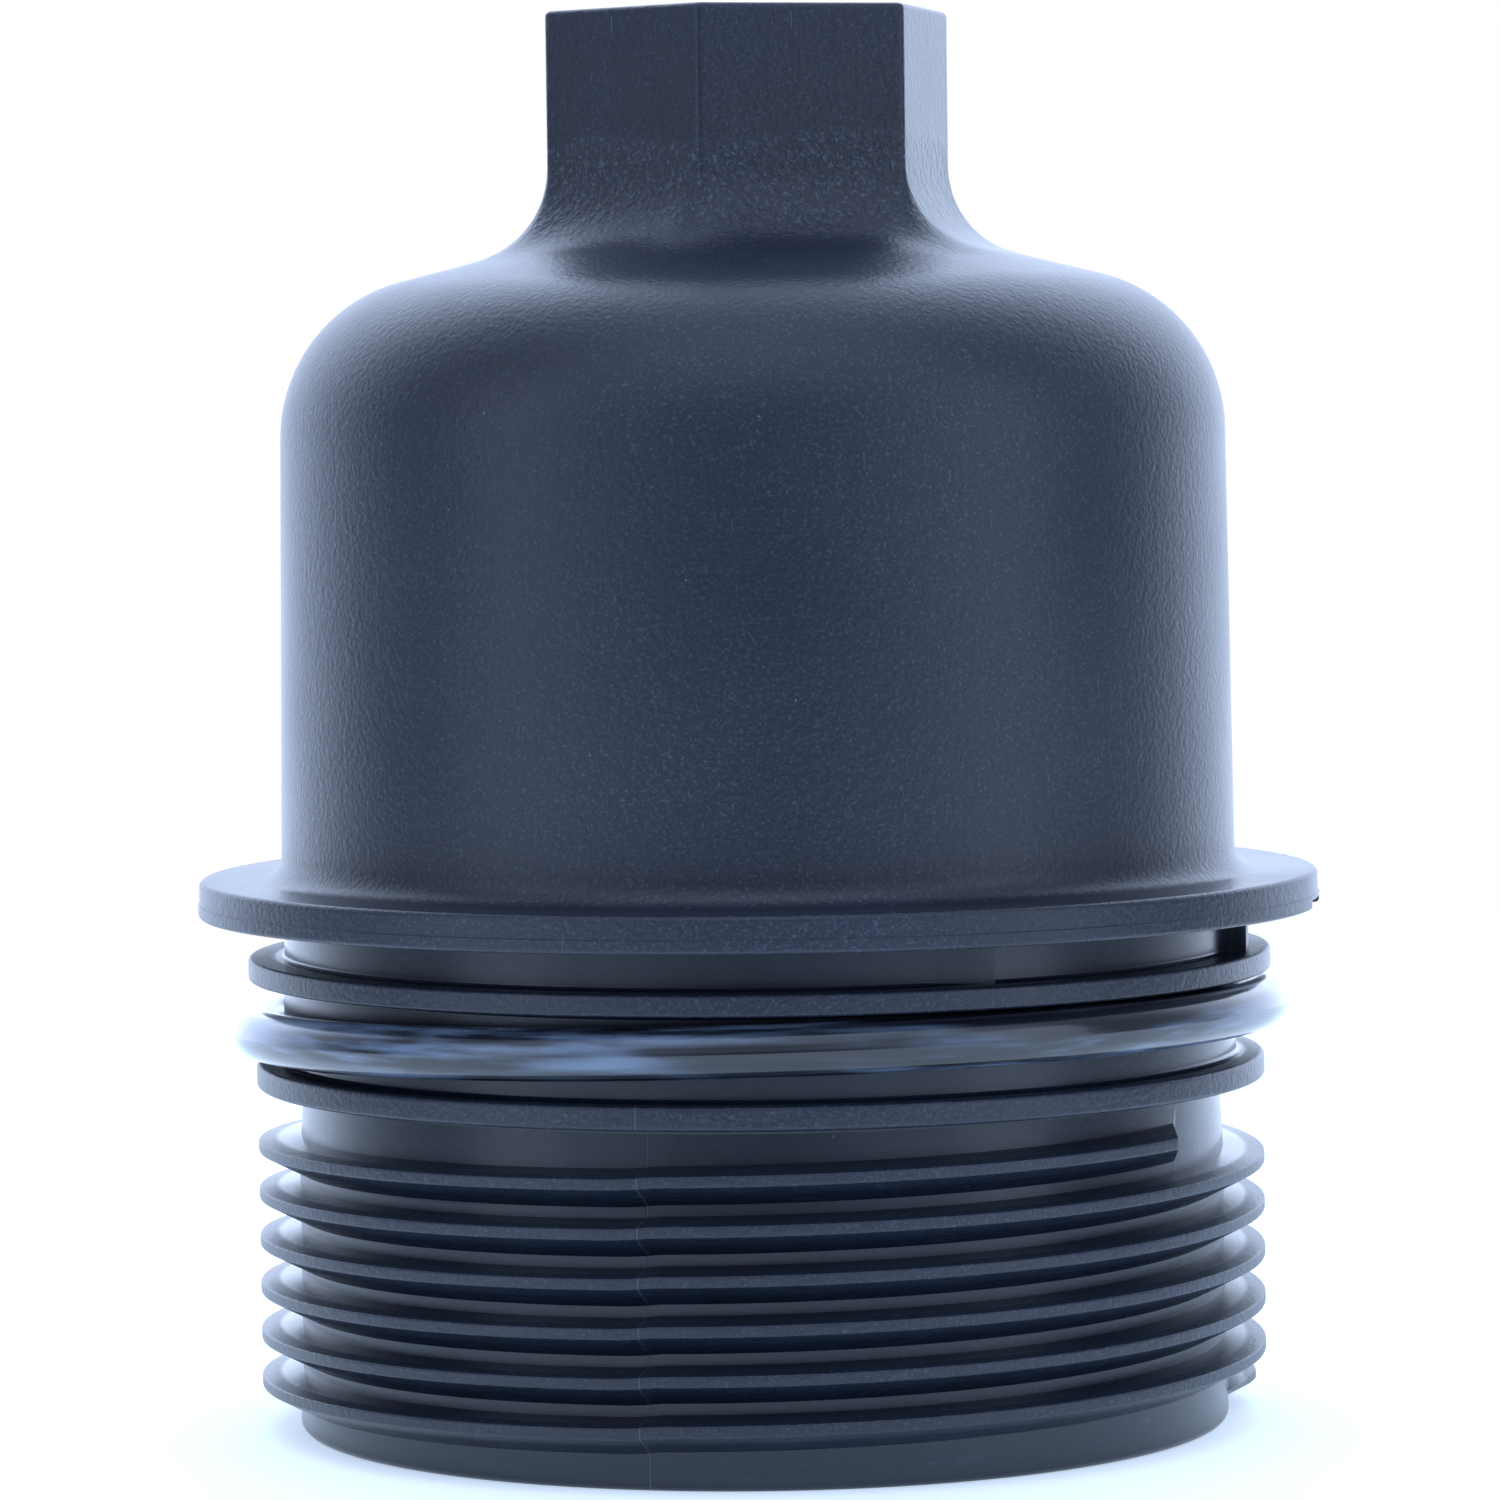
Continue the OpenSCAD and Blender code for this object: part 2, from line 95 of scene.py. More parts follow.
# Short witness marks of the mould: azimuth in degrees, half width, lower and upper height
MOULD_TICKS = (
    (-109, 0.0009, SEAT_Z, SEAT_Z + 1.4 * MM),
    (-38, 0.0009, SEAT_Z, SEAT_Z + 1.6 * MM),
    (-76.4, 0.003, CAP_TOP - 1.9 * MM, CAP_TOP - 0.7 * MM),
    (-137, 0.003, CAP_TOP - 1.9 * MM, CAP_TOP - 0.7 * MM),
)
HEX_CROWD = 0.11
WEB_TURN = math.radians(-13.5)
WEB_R = 36.9 * MM
WEB_HALF = 0.55 * MM
PAD_TURN = math.radians(-71)
PAD_SWEEP = math.radians(8.6)
PAD_RISE = 0.32 * MM
PAD_SINK = 0.05 * MM
BITE = 0.3 * MM
ROOF_RIBS = 8
ROOF_RIB_HALF = 0.8 * MM
ROOF_RIB_R = (14 * MM, 26 * MM)
ROOF_RIB_Z = (79.5 * MM, 84.2 * MM)
NOTCH_TURN = math.radians(-13.6)
NOTCH_SWEEP = math.radians(10.6)
NOTCH_DEPTH = 1.1 * MM
NOTCH_HEIGHT = 0.7 * MM
THREAD_STEPS = 180
THREAD_BITE = 0.45 * MM
THREAD_FADE = math.radians(15)
THREAD_FADE_DEPTH = 0.14
THREAD_CUT_STEPS = 12
THREAD_END_ROUND = 0.36 * MM
SEAM_SHARPNESS = 40
RING_SIDES = 56
RING_EASE = 0.06 * MM
FLASH = 0.07 * MM
FLASH_WIDTH = 0.06
SHARP = math.radians(32)
TINY = 0.001 * MM
SAME_TURN = 0.001


def arc(centre, radius, start, end, count):
    """Points on an arc in the outline's plane; the angles are in degrees."""
    angles = [math.radians(start + (end - start) * i / count) for i in range(count + 1)]
    return [
        (centre[0] + radius * math.cos(a), centre[1] + radius * math.sin(a))
        for a in angles
    ]


def soften(corners, closed=False):
    """An outline from (radius, height, rounding) corners, each rounded by an arc."""
    points = []
    last = len(corners) - 1
    for i, (r, z, rounding) in enumerate(corners):
        here = Vector((r, z))
        if rounding == 0 or (i in (0, last) and not closed):
            points.append((r, z))
            continue
        back = Vector(corners[i - 1][:2]) - here
        ahead = Vector(corners[(i + 1) % len(corners)][:2]) - here
        half = back.angle(ahead) / 2
        reach = min(rounding / math.tan(half), back.length * 0.49, ahead.length * 0.49)
        rounding = reach * math.tan(half)
        middle = here + (back.normalized() + ahead.normalized()).normalized() * (
            rounding / math.sin(half)
        )
        spoke = here + back.normalized() * reach - middle
        sweep = spoke.angle_signed(here + ahead.normalized() * reach - middle)
        count = max(2, math.ceil(abs(sweep) / ROUND_STEP))
        for k in range(count + 1):
            points.append(tuple(middle + Matrix.Rotation(-sweep * k / count, 2) @ spoke))
    return points


def outline_mesh(points, closed=False):
    """A bmesh with the outline as a chain of edges in the plane y = 0."""
    bm = bmesh.new()
    chain = [bm.verts.new((r, 0, z)) for r, z in points]
    pairs = list(zip(chain, chain[1:]))
    if closed:
        pairs.append((chain[-1], chain[0]))
    for pair in pairs:
        bm.edges.new(pair)
    return bm


def lathe(points, steps, closed=False):
    """The outline turned a full turn about the axis."""
    bm = outline_mesh(points, closed)
    bmesh.ops.spin(
        bm, geom=bm.verts[:] + bm.edges[:], cent=(0, 0, 0), axis=(0, 0, 1),
        angle=TURN, steps=steps, use_merge=True, use_duplicate=False,
    )
    bmesh.ops.remove_doubles(bm, verts=bm.verts[:], dist=TINY)
    bmesh.ops.recalc_face_normals(bm, faces=bm.faces[:])
    return bm


def sector(points, start, angle, steps):
    """A closed outline turned through part of a turn, with both ends capped."""
    bm = outline_mesh(points, closed=True)
    bmesh.ops.rotate(
        bm, verts=bm.verts[:], cent=(0, 0, 0), matrix=Matrix.Rotation(start, 3, "Z")
    )
    bmesh.ops.spin(
        bm, geom=bm.verts[:] + bm.edges[:], cent=(0, 0, 0), axis=(0, 0, 1),
        angle=angle, steps=steps, use_merge=False, use_duplicate=False,
    )
    bmesh.ops.holes_fill(bm, edges=bm.edges[:], sides=0)
    bmesh.ops.recalc_face_normals(bm, faces=bm.faces[:])
    return bm


def block(low, high, turn=0.0, rounding=0.0):
    """A box between two corners, turned about the axis, with rounded edges."""
    bm = bmesh.new()
    low, high = Vector(low), Vector(high)
    bmesh.ops.create_cube(bm, size=1)
    bmesh.ops.scale(bm, vec=high - low, verts=bm.verts[:])
    bmesh.ops.translate(bm, vec=(high + low) / 2, verts=bm.verts[:])
    if rounding:
        bmesh.ops.bevel(
            bm, geom=bm.edges[:], offset=rounding, segments=2, profile=0.5,
            material=-1, affect="EDGES",
        )
    bmesh.ops.rotate(
        bm, verts=bm.verts[:], cent=(0, 0, 0), matrix=Matrix.Rotation(turn, 3, "Z")
    )
    return bm


def smooth_faces(bm, sharp):
    """Shades a bmesh smooth, with creases where its faces turn sharply."""
    for face in bm.faces:
        face.smooth = True
    for edge in bm.edges:
        edge.smooth = edge.calc_face_angle(0) < sharp


def new_object(name, bm, sharp=SHARP):
    """A mesh object with smooth shading and creases where faces turn sharply."""
    mesh = bpy.data.meshes.new(name)
    smooth_faces(bm, sharp)
    bm.to_mesh(mesh)
    bm.free()
    piece = bpy.data.objects.new(name, mesh)
    bpy.context.scene.collection.objects.link(piece)
    return piece


def combine(piece, bm, operation):
    """Joins a closed bmesh to a piece, or cuts it out, and keeps the result."""
    tool = new_object(piece.name + "_tool", bm)
    change = piece.modifiers.new(operation.title(), "BOOLEAN")
    change.operation = operation
    change.solver = "EXACT"
    change.object = tool
    graph = bpy.context.evaluated_depsgraph_get()
    made = bpy.data.meshes.new_from_object(piece.evaluated_get(graph))
    piece.modifiers.remove(change)
    old = piece.data
    piece.data = made
    made.name = piece.name
    bpy.data.meshes.remove(old)
    bpy.data.objects.remove(tool)


def crease(piece):
    """Marks the sharp edges again after a piece was cut or joined."""
    bm = bmesh.new()
    bm.from_mesh(piece.data)
    smooth_faces(bm, SHARP)
    bm.to_mesh(piece.data)
    bm.free()


# ---------------------------------------------------------------- cap body


def hexagon_reach(half_flats, rounding, turn):
    """Reach of a hexagon with rounded corners, at a turn from one of its corners."""
    sixth = math.pi / 3
    off = abs((turn + sixth / 2) % sixth - sixth / 2)
    middle = (half_flats - rounding) / math.cos(sixth / 2)
    tangent = middle + rounding * math.cos(sixth / 2), rounding * math.sin(sixth / 2)
    if off < math.atan2(tangent[1], tangent[0]):
        return middle * math.cos(off) + math.sqrt(
            rounding**2 - (middle * math.sin(off)) ** 2
        )
    return half_flats / math.cos(sixth / 2 - off)


def roof_height(sizes, r):
    """Height of the roof's cone at a radius."""
    slope = math.radians(sizes.roof_slope)
    edge_r = sizes.barrel_top_r - sizes.shoulder_round * (1 - math.sin(slope))
    edge_z = SHOULDER_Z + sizes.shoulder_round * math.cos(slope)
    return edge_z + (edge_r - r) * math.tan(slope)


def flare(sizes, foot):
    """Rounding of the hollow that leads from the hex, at radius foot, to the roof,
    with the radius and height where it ends."""
    slope = math.radians(sizes.roof_slope)
    drop = FILLET_Z - roof_height(sizes, foot)
    bend = drop * math.cos(slope) / (1 - math.sin(slope))
    return bend, foot + bend * (1 - math.sin(slope)), FILLET_Z - bend * math.cos(slope)


def hex_corner(sizes):
    """Radius of the hex drive's rounded corners."""
    half = math.pi / 6
    return (sizes.hex_flats / 2 - sizes.hex_rounding) / math.cos(half) + sizes.hex_rounding


def cap_outline(sizes):
    """The cap's section, from the top's middle round the rim to the clip bore."""
    slope = sizes.roof_slope
    foot = sizes.hex_flats / 2
    bend, flat_end_r, _ = flare(sizes, foot)
    corner_end_r = flare(sizes, hex_corner(sizes))[1]
    centre_r = sizes.barrel_top_r - sizes.shoulder_round
    fillet = sizes.flange_fillet
    top = [
        (0, CAP_TOP, 0),
        (foot * 0.5, CAP_TOP, 0),
        (foot - 1 * MM, CAP_TOP, 0),
        (foot, CAP_TOP, 0.45 * MM),
        (foot, CAP_TOP - 1.2 * MM, 0),
        (foot, CAP_TOP - 6 * MM, 0),
        (foot, FILLET_Z + 1.5 * MM, 0),
    ]
    roof = [
        (r, roof_height(sizes, r)) for r in (
            *(flat_end_r + (corner_end_r - flat_end_r) * k / 4 for k in (1, 2, 3, 4)),
            corner_end_r + 2 * MM, corner_end_r + 4 * MM,
        )
    ]
    barrel = [
        (sizes.barrel_r - (sizes.barrel_r - sizes.barrel_top_r) * k / 4,
         BARREL_FOOT + (SHOULDER_Z - BARREL_FOOT) * k / 4)
        for k in (3, 2, 1, 0)
    ]
    lower = [
        (BAND_R - 0.1 * MM, FLANGE_TOP, 0.45 * MM),
        (BAND_R - 0.1 * MM, BAND_TOP, 0.06 * MM),
        (BAND_R, BAND_TOP, 0.05 * MM),
        (BAND_R, SEAT_Z, 0.3 * MM),
        (SEAT_INNER_R, SEAT_Z, 0.1 * MM),
        (SEAT_INNER_R, SEAT_Z + SEAT_RELIEF, 0.1 * MM),
        (NECK_R, SEAT_Z + SEAT_RELIEF, 0.4 * MM),
        (NECK_R, UPPER_RIB[1], 0.3 * MM),
        (UPPER_RIB_R, UPPER_RIB[1], 0.3 * MM),
        (UPPER_RIB_R, UPPER_RIB[0], 0.25 * MM),
        (GROOVE_R, UPPER_RIB[0], 0.4 * MM),
        (GROOVE_R, LOWER_RIB[1], 0.4 * MM),
        (LOWER_RIB_R, LOWER_RIB[1], 0.35 * MM),
        (LOWER_RIB_R, LOWER_RIB[0], 0.35 * MM),
        (LOWER_NECK_R, LOWER_RIB[0], 0.5 * MM),
        (sizes.thread_root_r, THREAD_TOP - 3 * MM, 2 * MM),
        (sizes.thread_root_r, SPIGOT_TOP, 0.1 * MM),
        (SPIGOT_R, SPIGOT_TOP - 0.2 * MM, 0.1 * MM),
        (SPIGOT_R, 0, 0.7 * MM),
        (sizes.cavity_r, 0, 0.5 * MM),
    ]
    inner_round = sizes.shoulder_round - 3.5 * MM
    inner_r = sizes.cavity_top_r - inner_round
    dome = arc((inner_r, 73 * MM), inner_round, 0, 90 - slope, 10)
    bore = [
        (CEILING_R, CEILING_Z, 0.5 * MM),
        (CLIP_BORE_R, CEILING_Z, 0.3 * MM),
        (CLIP_BORE_R, CLIP_GROOVE[0], 0.1 * MM),
        (CLIP_GROOVE_R, CLIP_GROOVE[0], 0.1 * MM),
        (CLIP_GROOVE_R, CLIP_GROOVE[1], 0.1 * MM),
        (CLIP_BORE_R, CLIP_GROOVE[1], 0.1 * MM),
        (CLIP_BORE_R, CLIP_BORE_TOP, 0.8 * MM),
        (0, CLIP_BORE_TOP, 0),
    ]
    return (
        soften(top)
        + arc((foot + bend, FILLET_Z), bend, 180, 270 - slope, 12)
        + roof
        + arc((centre_r, SHOULDER_Z), sizes.shoulder_round, 90 - slope, 0, 18)
        + barrel
        + arc((sizes.barrel_r + fillet, FLANGE_TOP + fillet), fillet, 180, 270, 6)
        + soften([(sizes.barrel_r + fillet, FLANGE_TOP, 0)] + lower + [(*dome[0], 0)])[1:-1]
        + dome
        + soften([(*dome[-1], 0)] + bore)[1:]
    )


def shape_hex(bm, sizes):
    """Moves the lathe's rings above the roof out to a hexagon that flares into it.
    The hexagon's corners grow rounder on the way down, until the rings are round."""
    corner = hex_corner(sizes)
    bend, _, end_z = flare(sizes, corner)
    stretch = 1 / math.cos(math.pi / 6)
    turn = math.radians(sizes.hex_turn)
    for v in bm.verts:
        r = math.hypot(v.co.x, v.co.y)
        outside = r > CLIP_GROOVE_R + 0.2 * MM or v.co.z > CLIP_BORE_TOP + 1 * MM
        if v.co.z < end_z or not outside or r == 0:
            continue
        off = math.atan2(v.co.y, v.co.x) - turn
        if v.co.z >= FILLET_Z:
            rounding = sizes.hex_rounding * min(1, r / (sizes.hex_flats / 2))
            crowd = HEX_CROWD
        else:
            down = FILLET_Z - v.co.z
            tip = corner + bend - math.sqrt(bend**2 - down**2)
            rounding = min(r, max(0, (r * stretch - tip) / (stretch - 1)))
            crowd = HEX_CROWD * (1 - down / (FILLET_Z - end_z))
        off -= crowd * math.sin(6 * off)
        reach = hexagon_reach(r, rounding, off)
        v.co.x = reach * math.cos(off + turn)
        v.co.y = reach * math.sin(off + turn)


def thread_ridge(sizes):
    """One long ridge wound down the thread zone, fading out at its lower end."""
    inner_r = sizes.thread_root_r - THREAD_BITE
    deep = THREAD_BITE / (sizes.thread_r - sizes.thread_root_r)
    top = sizes.thread_crest / 2
    section = soften([
        (inner_r, 0, 0),
        (inner_r, -top - sizes.thread_lower_flank * (1 + deep), 0),
        (sizes.thread_r, -top, 0.22 * MM),
        (sizes.thread_r, top, 0.16 * MM),
        (inner_r, top + sizes.thread_upper_flank * (1 + deep), 0),
        (inner_r, 0, 0),
    ])[:-1]
    start = math.radians(sizes.thread_start_turn)
    total = math.radians(sizes.thread_sweep)
    steps = round(total / TURN * THREAD_STEPS)
    bm = outline_mesh([(r, z + sizes.thread_start_z) for r, z in section], closed=True)
    bmesh.ops.rotate(
        bm, verts=bm.verts[:], cent=(0, 0, 0), matrix=Matrix.Rotation(start, 3, "Z")
    )
    bmesh.ops.spin(
        bm, geom=bm.verts[:] + bm.edges[:], cent=(0, 0, 0), axis=(0, 0, 1),
        dvec=(0, 0, -sizes.thread_pitch / THREAD_STEPS), angle=-total, steps=steps,
        use_merge=False, use_duplicate=False,
    )
    count = len(section)
    seam = math.radians(sizes.seam_turn)
    for i, v in enumerate(bm.verts):
        wound = (i // count) * total / steps
        middle = sizes.thread_start_z - sizes.thread_pitch * wound / TURN
        left = min(1.0, (total - wound) / THREAD_FADE)
        keep = THREAD_FADE_DEPTH + (1 - THREAD_FADE_DEPTH) * left
        r = math.hypot(v.co.x, v.co.y)
        r_new = inner_r + (r - inner_r) * keep
        off = (v.co.z - middle) * keep
        side = math.sin(start - wound - seam) * SEAM_SHARPNESS
        jog = sizes.seam_jog / 2 * max(-1.0, min(1.0, side))
        v.co = (v.co.x * r_new / r, v.co.y * r_new / r, middle + off + jog)
    bm.verts.ensure_lookup_table()
    first = set(bm.verts[:count * THREAD_CUT_STEPS])
    bmesh.ops.bisect_plane(
        bm, plane_co=(sizes.thread_cut, 0, 0), plane_no=(1, 0, 0),
        clear_outer=True, dist=TINY,
        geom=[*first, *(e for e in bm.edges if first.issuperset(e.verts)),
              *(f for f in bm.faces if first.issuperset(f.verts))])
    made = bmesh.ops.holes_fill(bm, edges=bm.edges[:], sides=0)["faces"]
    bmesh.ops.recalc_face_normals(bm, faces=bm.faces[:])
    start_face = max(made, key=lambda face: face.calc_center_median().z)
    rim = [e for e in start_face.edges
           if min(v.co.xy.length for v in e.verts) > inner_r + BITE]
    bmesh.ops.bevel(bm, geom=rim, offset=THREAD_END_ROUND, segments=4, profile=0.5,
                    material=-1, affect="EDGES", clamp_overlap=True)
    return bm


def merge(*parts):
    """One bmesh of several closed parts that don't touch each other."""
    whole = bmesh.new()
    for part in parts:
        mesh = bpy.data.meshes.new("part")
        part.to_mesh(mesh)
        part.free()
        whole.from_mesh(mesh)
        bpy.data.meshes.remove(mesh)
    return whole


def cap_details():
    """The neck's web and low pad, and the ribs under the roof."""
    low, high = UPPER_RIB[1] - BITE, SEAT_Z + SEAT_RELIEF + BITE
    root = NECK_R - 1 * MM
    web = block((root, -WEB_HALF, low), (WEB_R, WEB_HALF, high), WEB_TURN, 0.12 * MM)
    face = NECK_R + 0.4 * MM
    pad = sector([(root, low), (face, low), (face, high), (root, high)],
                 PAD_TURN, PAD_SWEEP, 12)
    for v in pad.verts:
        if v.co.xy.length > NECK_R:
            rise = (math.atan2(v.co.y, v.co.x) - PAD_TURN) / PAD_SWEEP
            v.co.xy = v.co.xy.normalized() * (NECK_R + PAD_RISE * rise - PAD_SINK)
    ribs = [
        block((ROOF_RIB_R[0], -ROOF_RIB_HALF, ROOF_RIB_Z[0]),
              (ROOF_RIB_R[1], ROOF_RIB_HALF, ROOF_RIB_Z[1]),
              (i + 0.5) * TURN / ROOF_RIBS, 0.25 * MM)
        for i in range(ROOF_RIBS)
    ]
    return merge(web, pad, *ribs)


def flange_notch():
    """A cutter for the shallow notch in the flange's lower edge."""
    inner, outer = BAND_R - NOTCH_DEPTH, BAND_R + 1 * MM
    low, high = SEAT_Z - 1 * MM, SEAT_Z + NOTCH_HEIGHT
    return sector([(inner, low), (outer, low), (outer, high), (inner, high)],
                  NOTCH_TURN, NOTCH_SWEEP, 10)


class FilterCapSizes(bpy.types.PropertyGroup):
    """Sizes of the cap that a user would change."""

    hex_flats: FloatProperty(
        name="Hex", description="Width across the hex drive's flats",
        default=27 * MM, unit="LENGTH")
    hex_turn: FloatProperty(
        name="Hex turn", description="Turn of the hex drive, in degrees", default=16.6)
    hex_rounding: FloatProperty(
        name="Hex edge", description="Rounding of the hex drive's upright edges",
        default=0.5 * MM, unit="LENGTH")
    roof_slope: FloatProperty(
        name="Roof slope", description="Slope of the roof, in degrees", default=14)
    shoulder_round: FloatProperty(
        name="Shoulder", description="Radius of the shoulder's rounding",
        default=12 * MM, unit="LENGTH")
    barrel_r: FloatProperty(
        name="Barrel foot", description="Radius of the barrel above the flange",
        default=35.5 * MM, unit="LENGTH")
    barrel_top_r: FloatProperty(
        name="Barrel top", description="Radius of the barrel below the shoulder",
        default=35.1 * MM, unit="LENGTH")
    flange_fillet: FloatProperty(
        name="Flange fillet", description="Rounding between barrel and flange",
        default=1.7 * MM, unit="LENGTH")
    cavity_r: FloatProperty(
        name="Mouth", description="Inner radius at the cap's mouth",
        default=31.7 * MM, unit="LENGTH")
    cavity_top_r: FloatProperty(
        name="Inner top", description="Inner radius below the shoulder",
        default=31.2 * MM, unit="LENGTH")
    thread_r: FloatProperty(
        name="Thread", description="Outer radius of the thread",
        default=37.55 * MM, unit="LENGTH")
    thread_root_r: FloatProperty(
        name="Thread root", description="Radius of the thread's root",
        default=34.5 * MM, unit="LENGTH")
    thread_pitch: FloatProperty(
        name="Pitch", description="Pitch of the thread",
        default=3.5 * MM, unit="LENGTH")
    thread_crest: FloatProperty(
        name="Crest", description="Height of the thread's crest",
        default=0.8 * MM, unit="LENGTH")
    thread_upper_flank: FloatProperty(
        name="Upper flank", description="Height of the thread's steep flank",
        default=0.35 * MM, unit="LENGTH")
    thread_lower_flank: FloatProperty(
        name="Lower flank", description="Height of the thread's long flank",
        default=1.55 * MM, unit="LENGTH")
    thread_start_z: FloatProperty(
        name="Thread start", description="Height of the crest at the upper end",
        default=22.84 * MM, unit="LENGTH")
    thread_start_turn: FloatProperty(
        name="Thread start turn", description="Where the upper end is, in degrees",
        default=-26)
    thread_sweep: FloatProperty(
        name="Thread sweep", description="Length of the thread, in degrees",
        default=2142)
    thread_cut: FloatProperty(
        name="Thread cut", description="Distance from the axis of the upper end's flat cut",
        default=29.8 * MM, unit="LENGTH")
    seam_turn: FloatProperty(
        name="Mould seam", description="Where the mould's seam is, in degrees",
        default=-103.5)
    seam_jog: FloatProperty(
        name="Seam jog", description="Step of the thread at the mould's seam",
        default=0.15 * MM, unit="LENGTH")
    ring_cord: FloatProperty(
        name="Ring cord", description="Thickness of the sealing ring",
        default=3.9 * MM, unit="LENGTH")
    ring_lift: FloatProperty(
        name="Ring lift", description="How far the sealing ring's high side is raised",
        default=1.05 * MM, unit="LENGTH")
    ring_lift_turn: FloatProperty(
        name="Ring lift turn", description="Where the ring's high side is, in degrees",
        default=-45)
    lathe_steps: IntProperty(
        name="Steps", description="Steps of a full turn of the cap", default=240)


class FilterCapFinishes(bpy.types.PropertyGroup):
    """Colours of the filter cap's materials."""

    cap_colour: FloatVectorProperty(
        name="Cap", description="Colour of the cap's moulded plastic",
        default=(0.0085, 0.0135, 0.026), subtype="COLOR")
    cap_bloom: FloatVectorProperty(
        name="Cap bloom", description="Colour of scuffed and chalky spots on the cap",
        default=(0.085, 0.105, 0.15), subtype="COLOR")
    rubber_colour: FloatVectorProperty(
        name="Rubber", description="Colour of the seals' rubber",
        default=(0.006, 0.008, 0.013), subtype="COLOR")
    rubber_bloom: FloatVectorProperty(
        name="Rubber bloom", description="Colour of the bloom on the sealing ring",
        default=(0.17, 0.24, 0.36), subtype="COLOR")
    cage_colour: FloatVectorProperty(
        name="Cage", description="Colour of the cage's glass-filled plastic",
        default=(0.016, 0.017, 0.019), subtype="COLOR")
    plate_colour: FloatVectorProperty(
        name="End plates", description="Colour of the end plates' plastic",
        default=(0.035, 0.04, 0.045), subtype="COLOR")
    steel_colour: FloatVectorProperty(
        name="Steel", description="Colour of the valve's plated steel",
        default=(0.6, 0.59, 0.56), subtype="COLOR")
    paper_colour: FloatVectorProperty(
        name="Paper", description="Colour of the filter paper",
        default=(0.72, 0.53, 0.22), subtype="COLOR")
    glue_colour: FloatVectorProperty(
        name="Glue", description="Colour of the glue",
        default=(0.78, 0.72, 0.55), subtype="COLOR")


# ---------------------------------------------------------------- materials

STREAK_R = 0.036
SEAM_HALF_WIDTH = 0.0011
CAP_GRAIN = 0.035 * MM
RUBBER_GRAIN = 0.015 * MM
FILLED_GRAIN = 0.02 * MM
DRAWN_LINES = 0.015 * MM
PAPER_GRAIN = 0.08 * MM
GLUE_GRAIN = 0.1 * MM


def add(tree, kind, inputs=None, **settings):
    """A new node. An input is given a value, or is linked where it is a socket."""
    made = tree.nodes.new(kind)
    made.location.x = 190 * len(tree.nodes)
    for name, value in settings.items():
        setattr(made, name, value)
    for key, value in (inputs or {}).items():
        socket = made.inputs[key]
        if isinstance(value, bpy.types.NodeSocket):
            tree.links.new(value, socket)
        else:
            socket.default_value = value
    return made


def calc(tree, operation, *values):
    """The output of a Math node."""
    return add(tree, "ShaderNodeMath", dict(enumerate(values)), operation=operation).outputs[0]


def between(tree, value, low, high, to_low=0.0, to_high=1.0):
    """A value moved smoothly from one range to another, and held at its ends."""
    return add(
        tree, "ShaderNodeMapRange", interpolation_type="SMOOTHSTEP",
        inputs={"Value": value, "From Min": low, "From Max": high,
                "To Min": to_low, "To Max": to_high},
    ).outputs["Result"]


def mix_colour(tree, factor, first, second):
    """The output of a colour Mix node; colours are sockets or red, green, blue."""
    made = add(tree, "ShaderNodeMix", {0: factor}, data_type="RGBA")
    for index, value in ((6, first), (7, second)):
        if isinstance(value, bpy.types.NodeSocket):
            tree.links.new(value, made.inputs[index])
        else:
            made.inputs[index].default_value = (*value, 1)
    return made.outputs[2]


def noise(tree, where, scale, detail=2.0, roughness=0.5):
    """The output of a Noise Texture node."""
    return add(
        tree, "ShaderNodeTexNoise",
        {"Vector": where, "Scale": scale, "Detail": detail, "Roughness": roughness},
    ).outputs["Fac"]


def new_group(name, inputs, outputs):
    """An empty shader node group with float inputs and outputs."""
    tree = bpy.data.node_groups.new(name, "ShaderNodeTree")
    tree.interface.new_socket("Position", in_out="INPUT", socket_type="NodeSocketVector")
    for label, value in inputs.items():
        socket = tree.interface.new_socket(
            label, in_out="INPUT", socket_type="NodeSocketFloat")
        socket.default_value = value
    for label in outputs:
        tree.interface.new_socket(label, in_out="OUTPUT", socket_type="NodeSocketFloat")
    return tree, tree.nodes.new("NodeGroupInput"), tree.nodes.new("NodeGroupOutput")


def use_group(tree, maker, position, **values):
    """The outputs of a shared effect in a material; it is built the first time."""
    name = maker.__name__.replace("_", " ").capitalize()
    group = bpy.data.node_groups.get(name) or maker(name)
    made = add(tree, "ShaderNodeGroup", node_tree=group)
    tree.links.new(position, made.inputs["Position"])
    for key, value in values.items():
        made.inputs[key.capitalize()].default_value = value
    return made.outputs


def around(tree, position):
    """Turn about the axis, reach from it and height of a position."""
    x, y, height_up = add(tree, "ShaderNodeSeparateXYZ", {"Vector": position}).outputs
    turn = calc(tree, "ARCTAN2", x, calc(tree, "MULTIPLY", y, -1.0))
    reach = calc(tree, "SQRT", calc(
        tree, "ADD", calc(tree, "MULTIPLY", x, x), calc(tree, "MULTIPLY", y, y)))
    return turn, reach, height_up


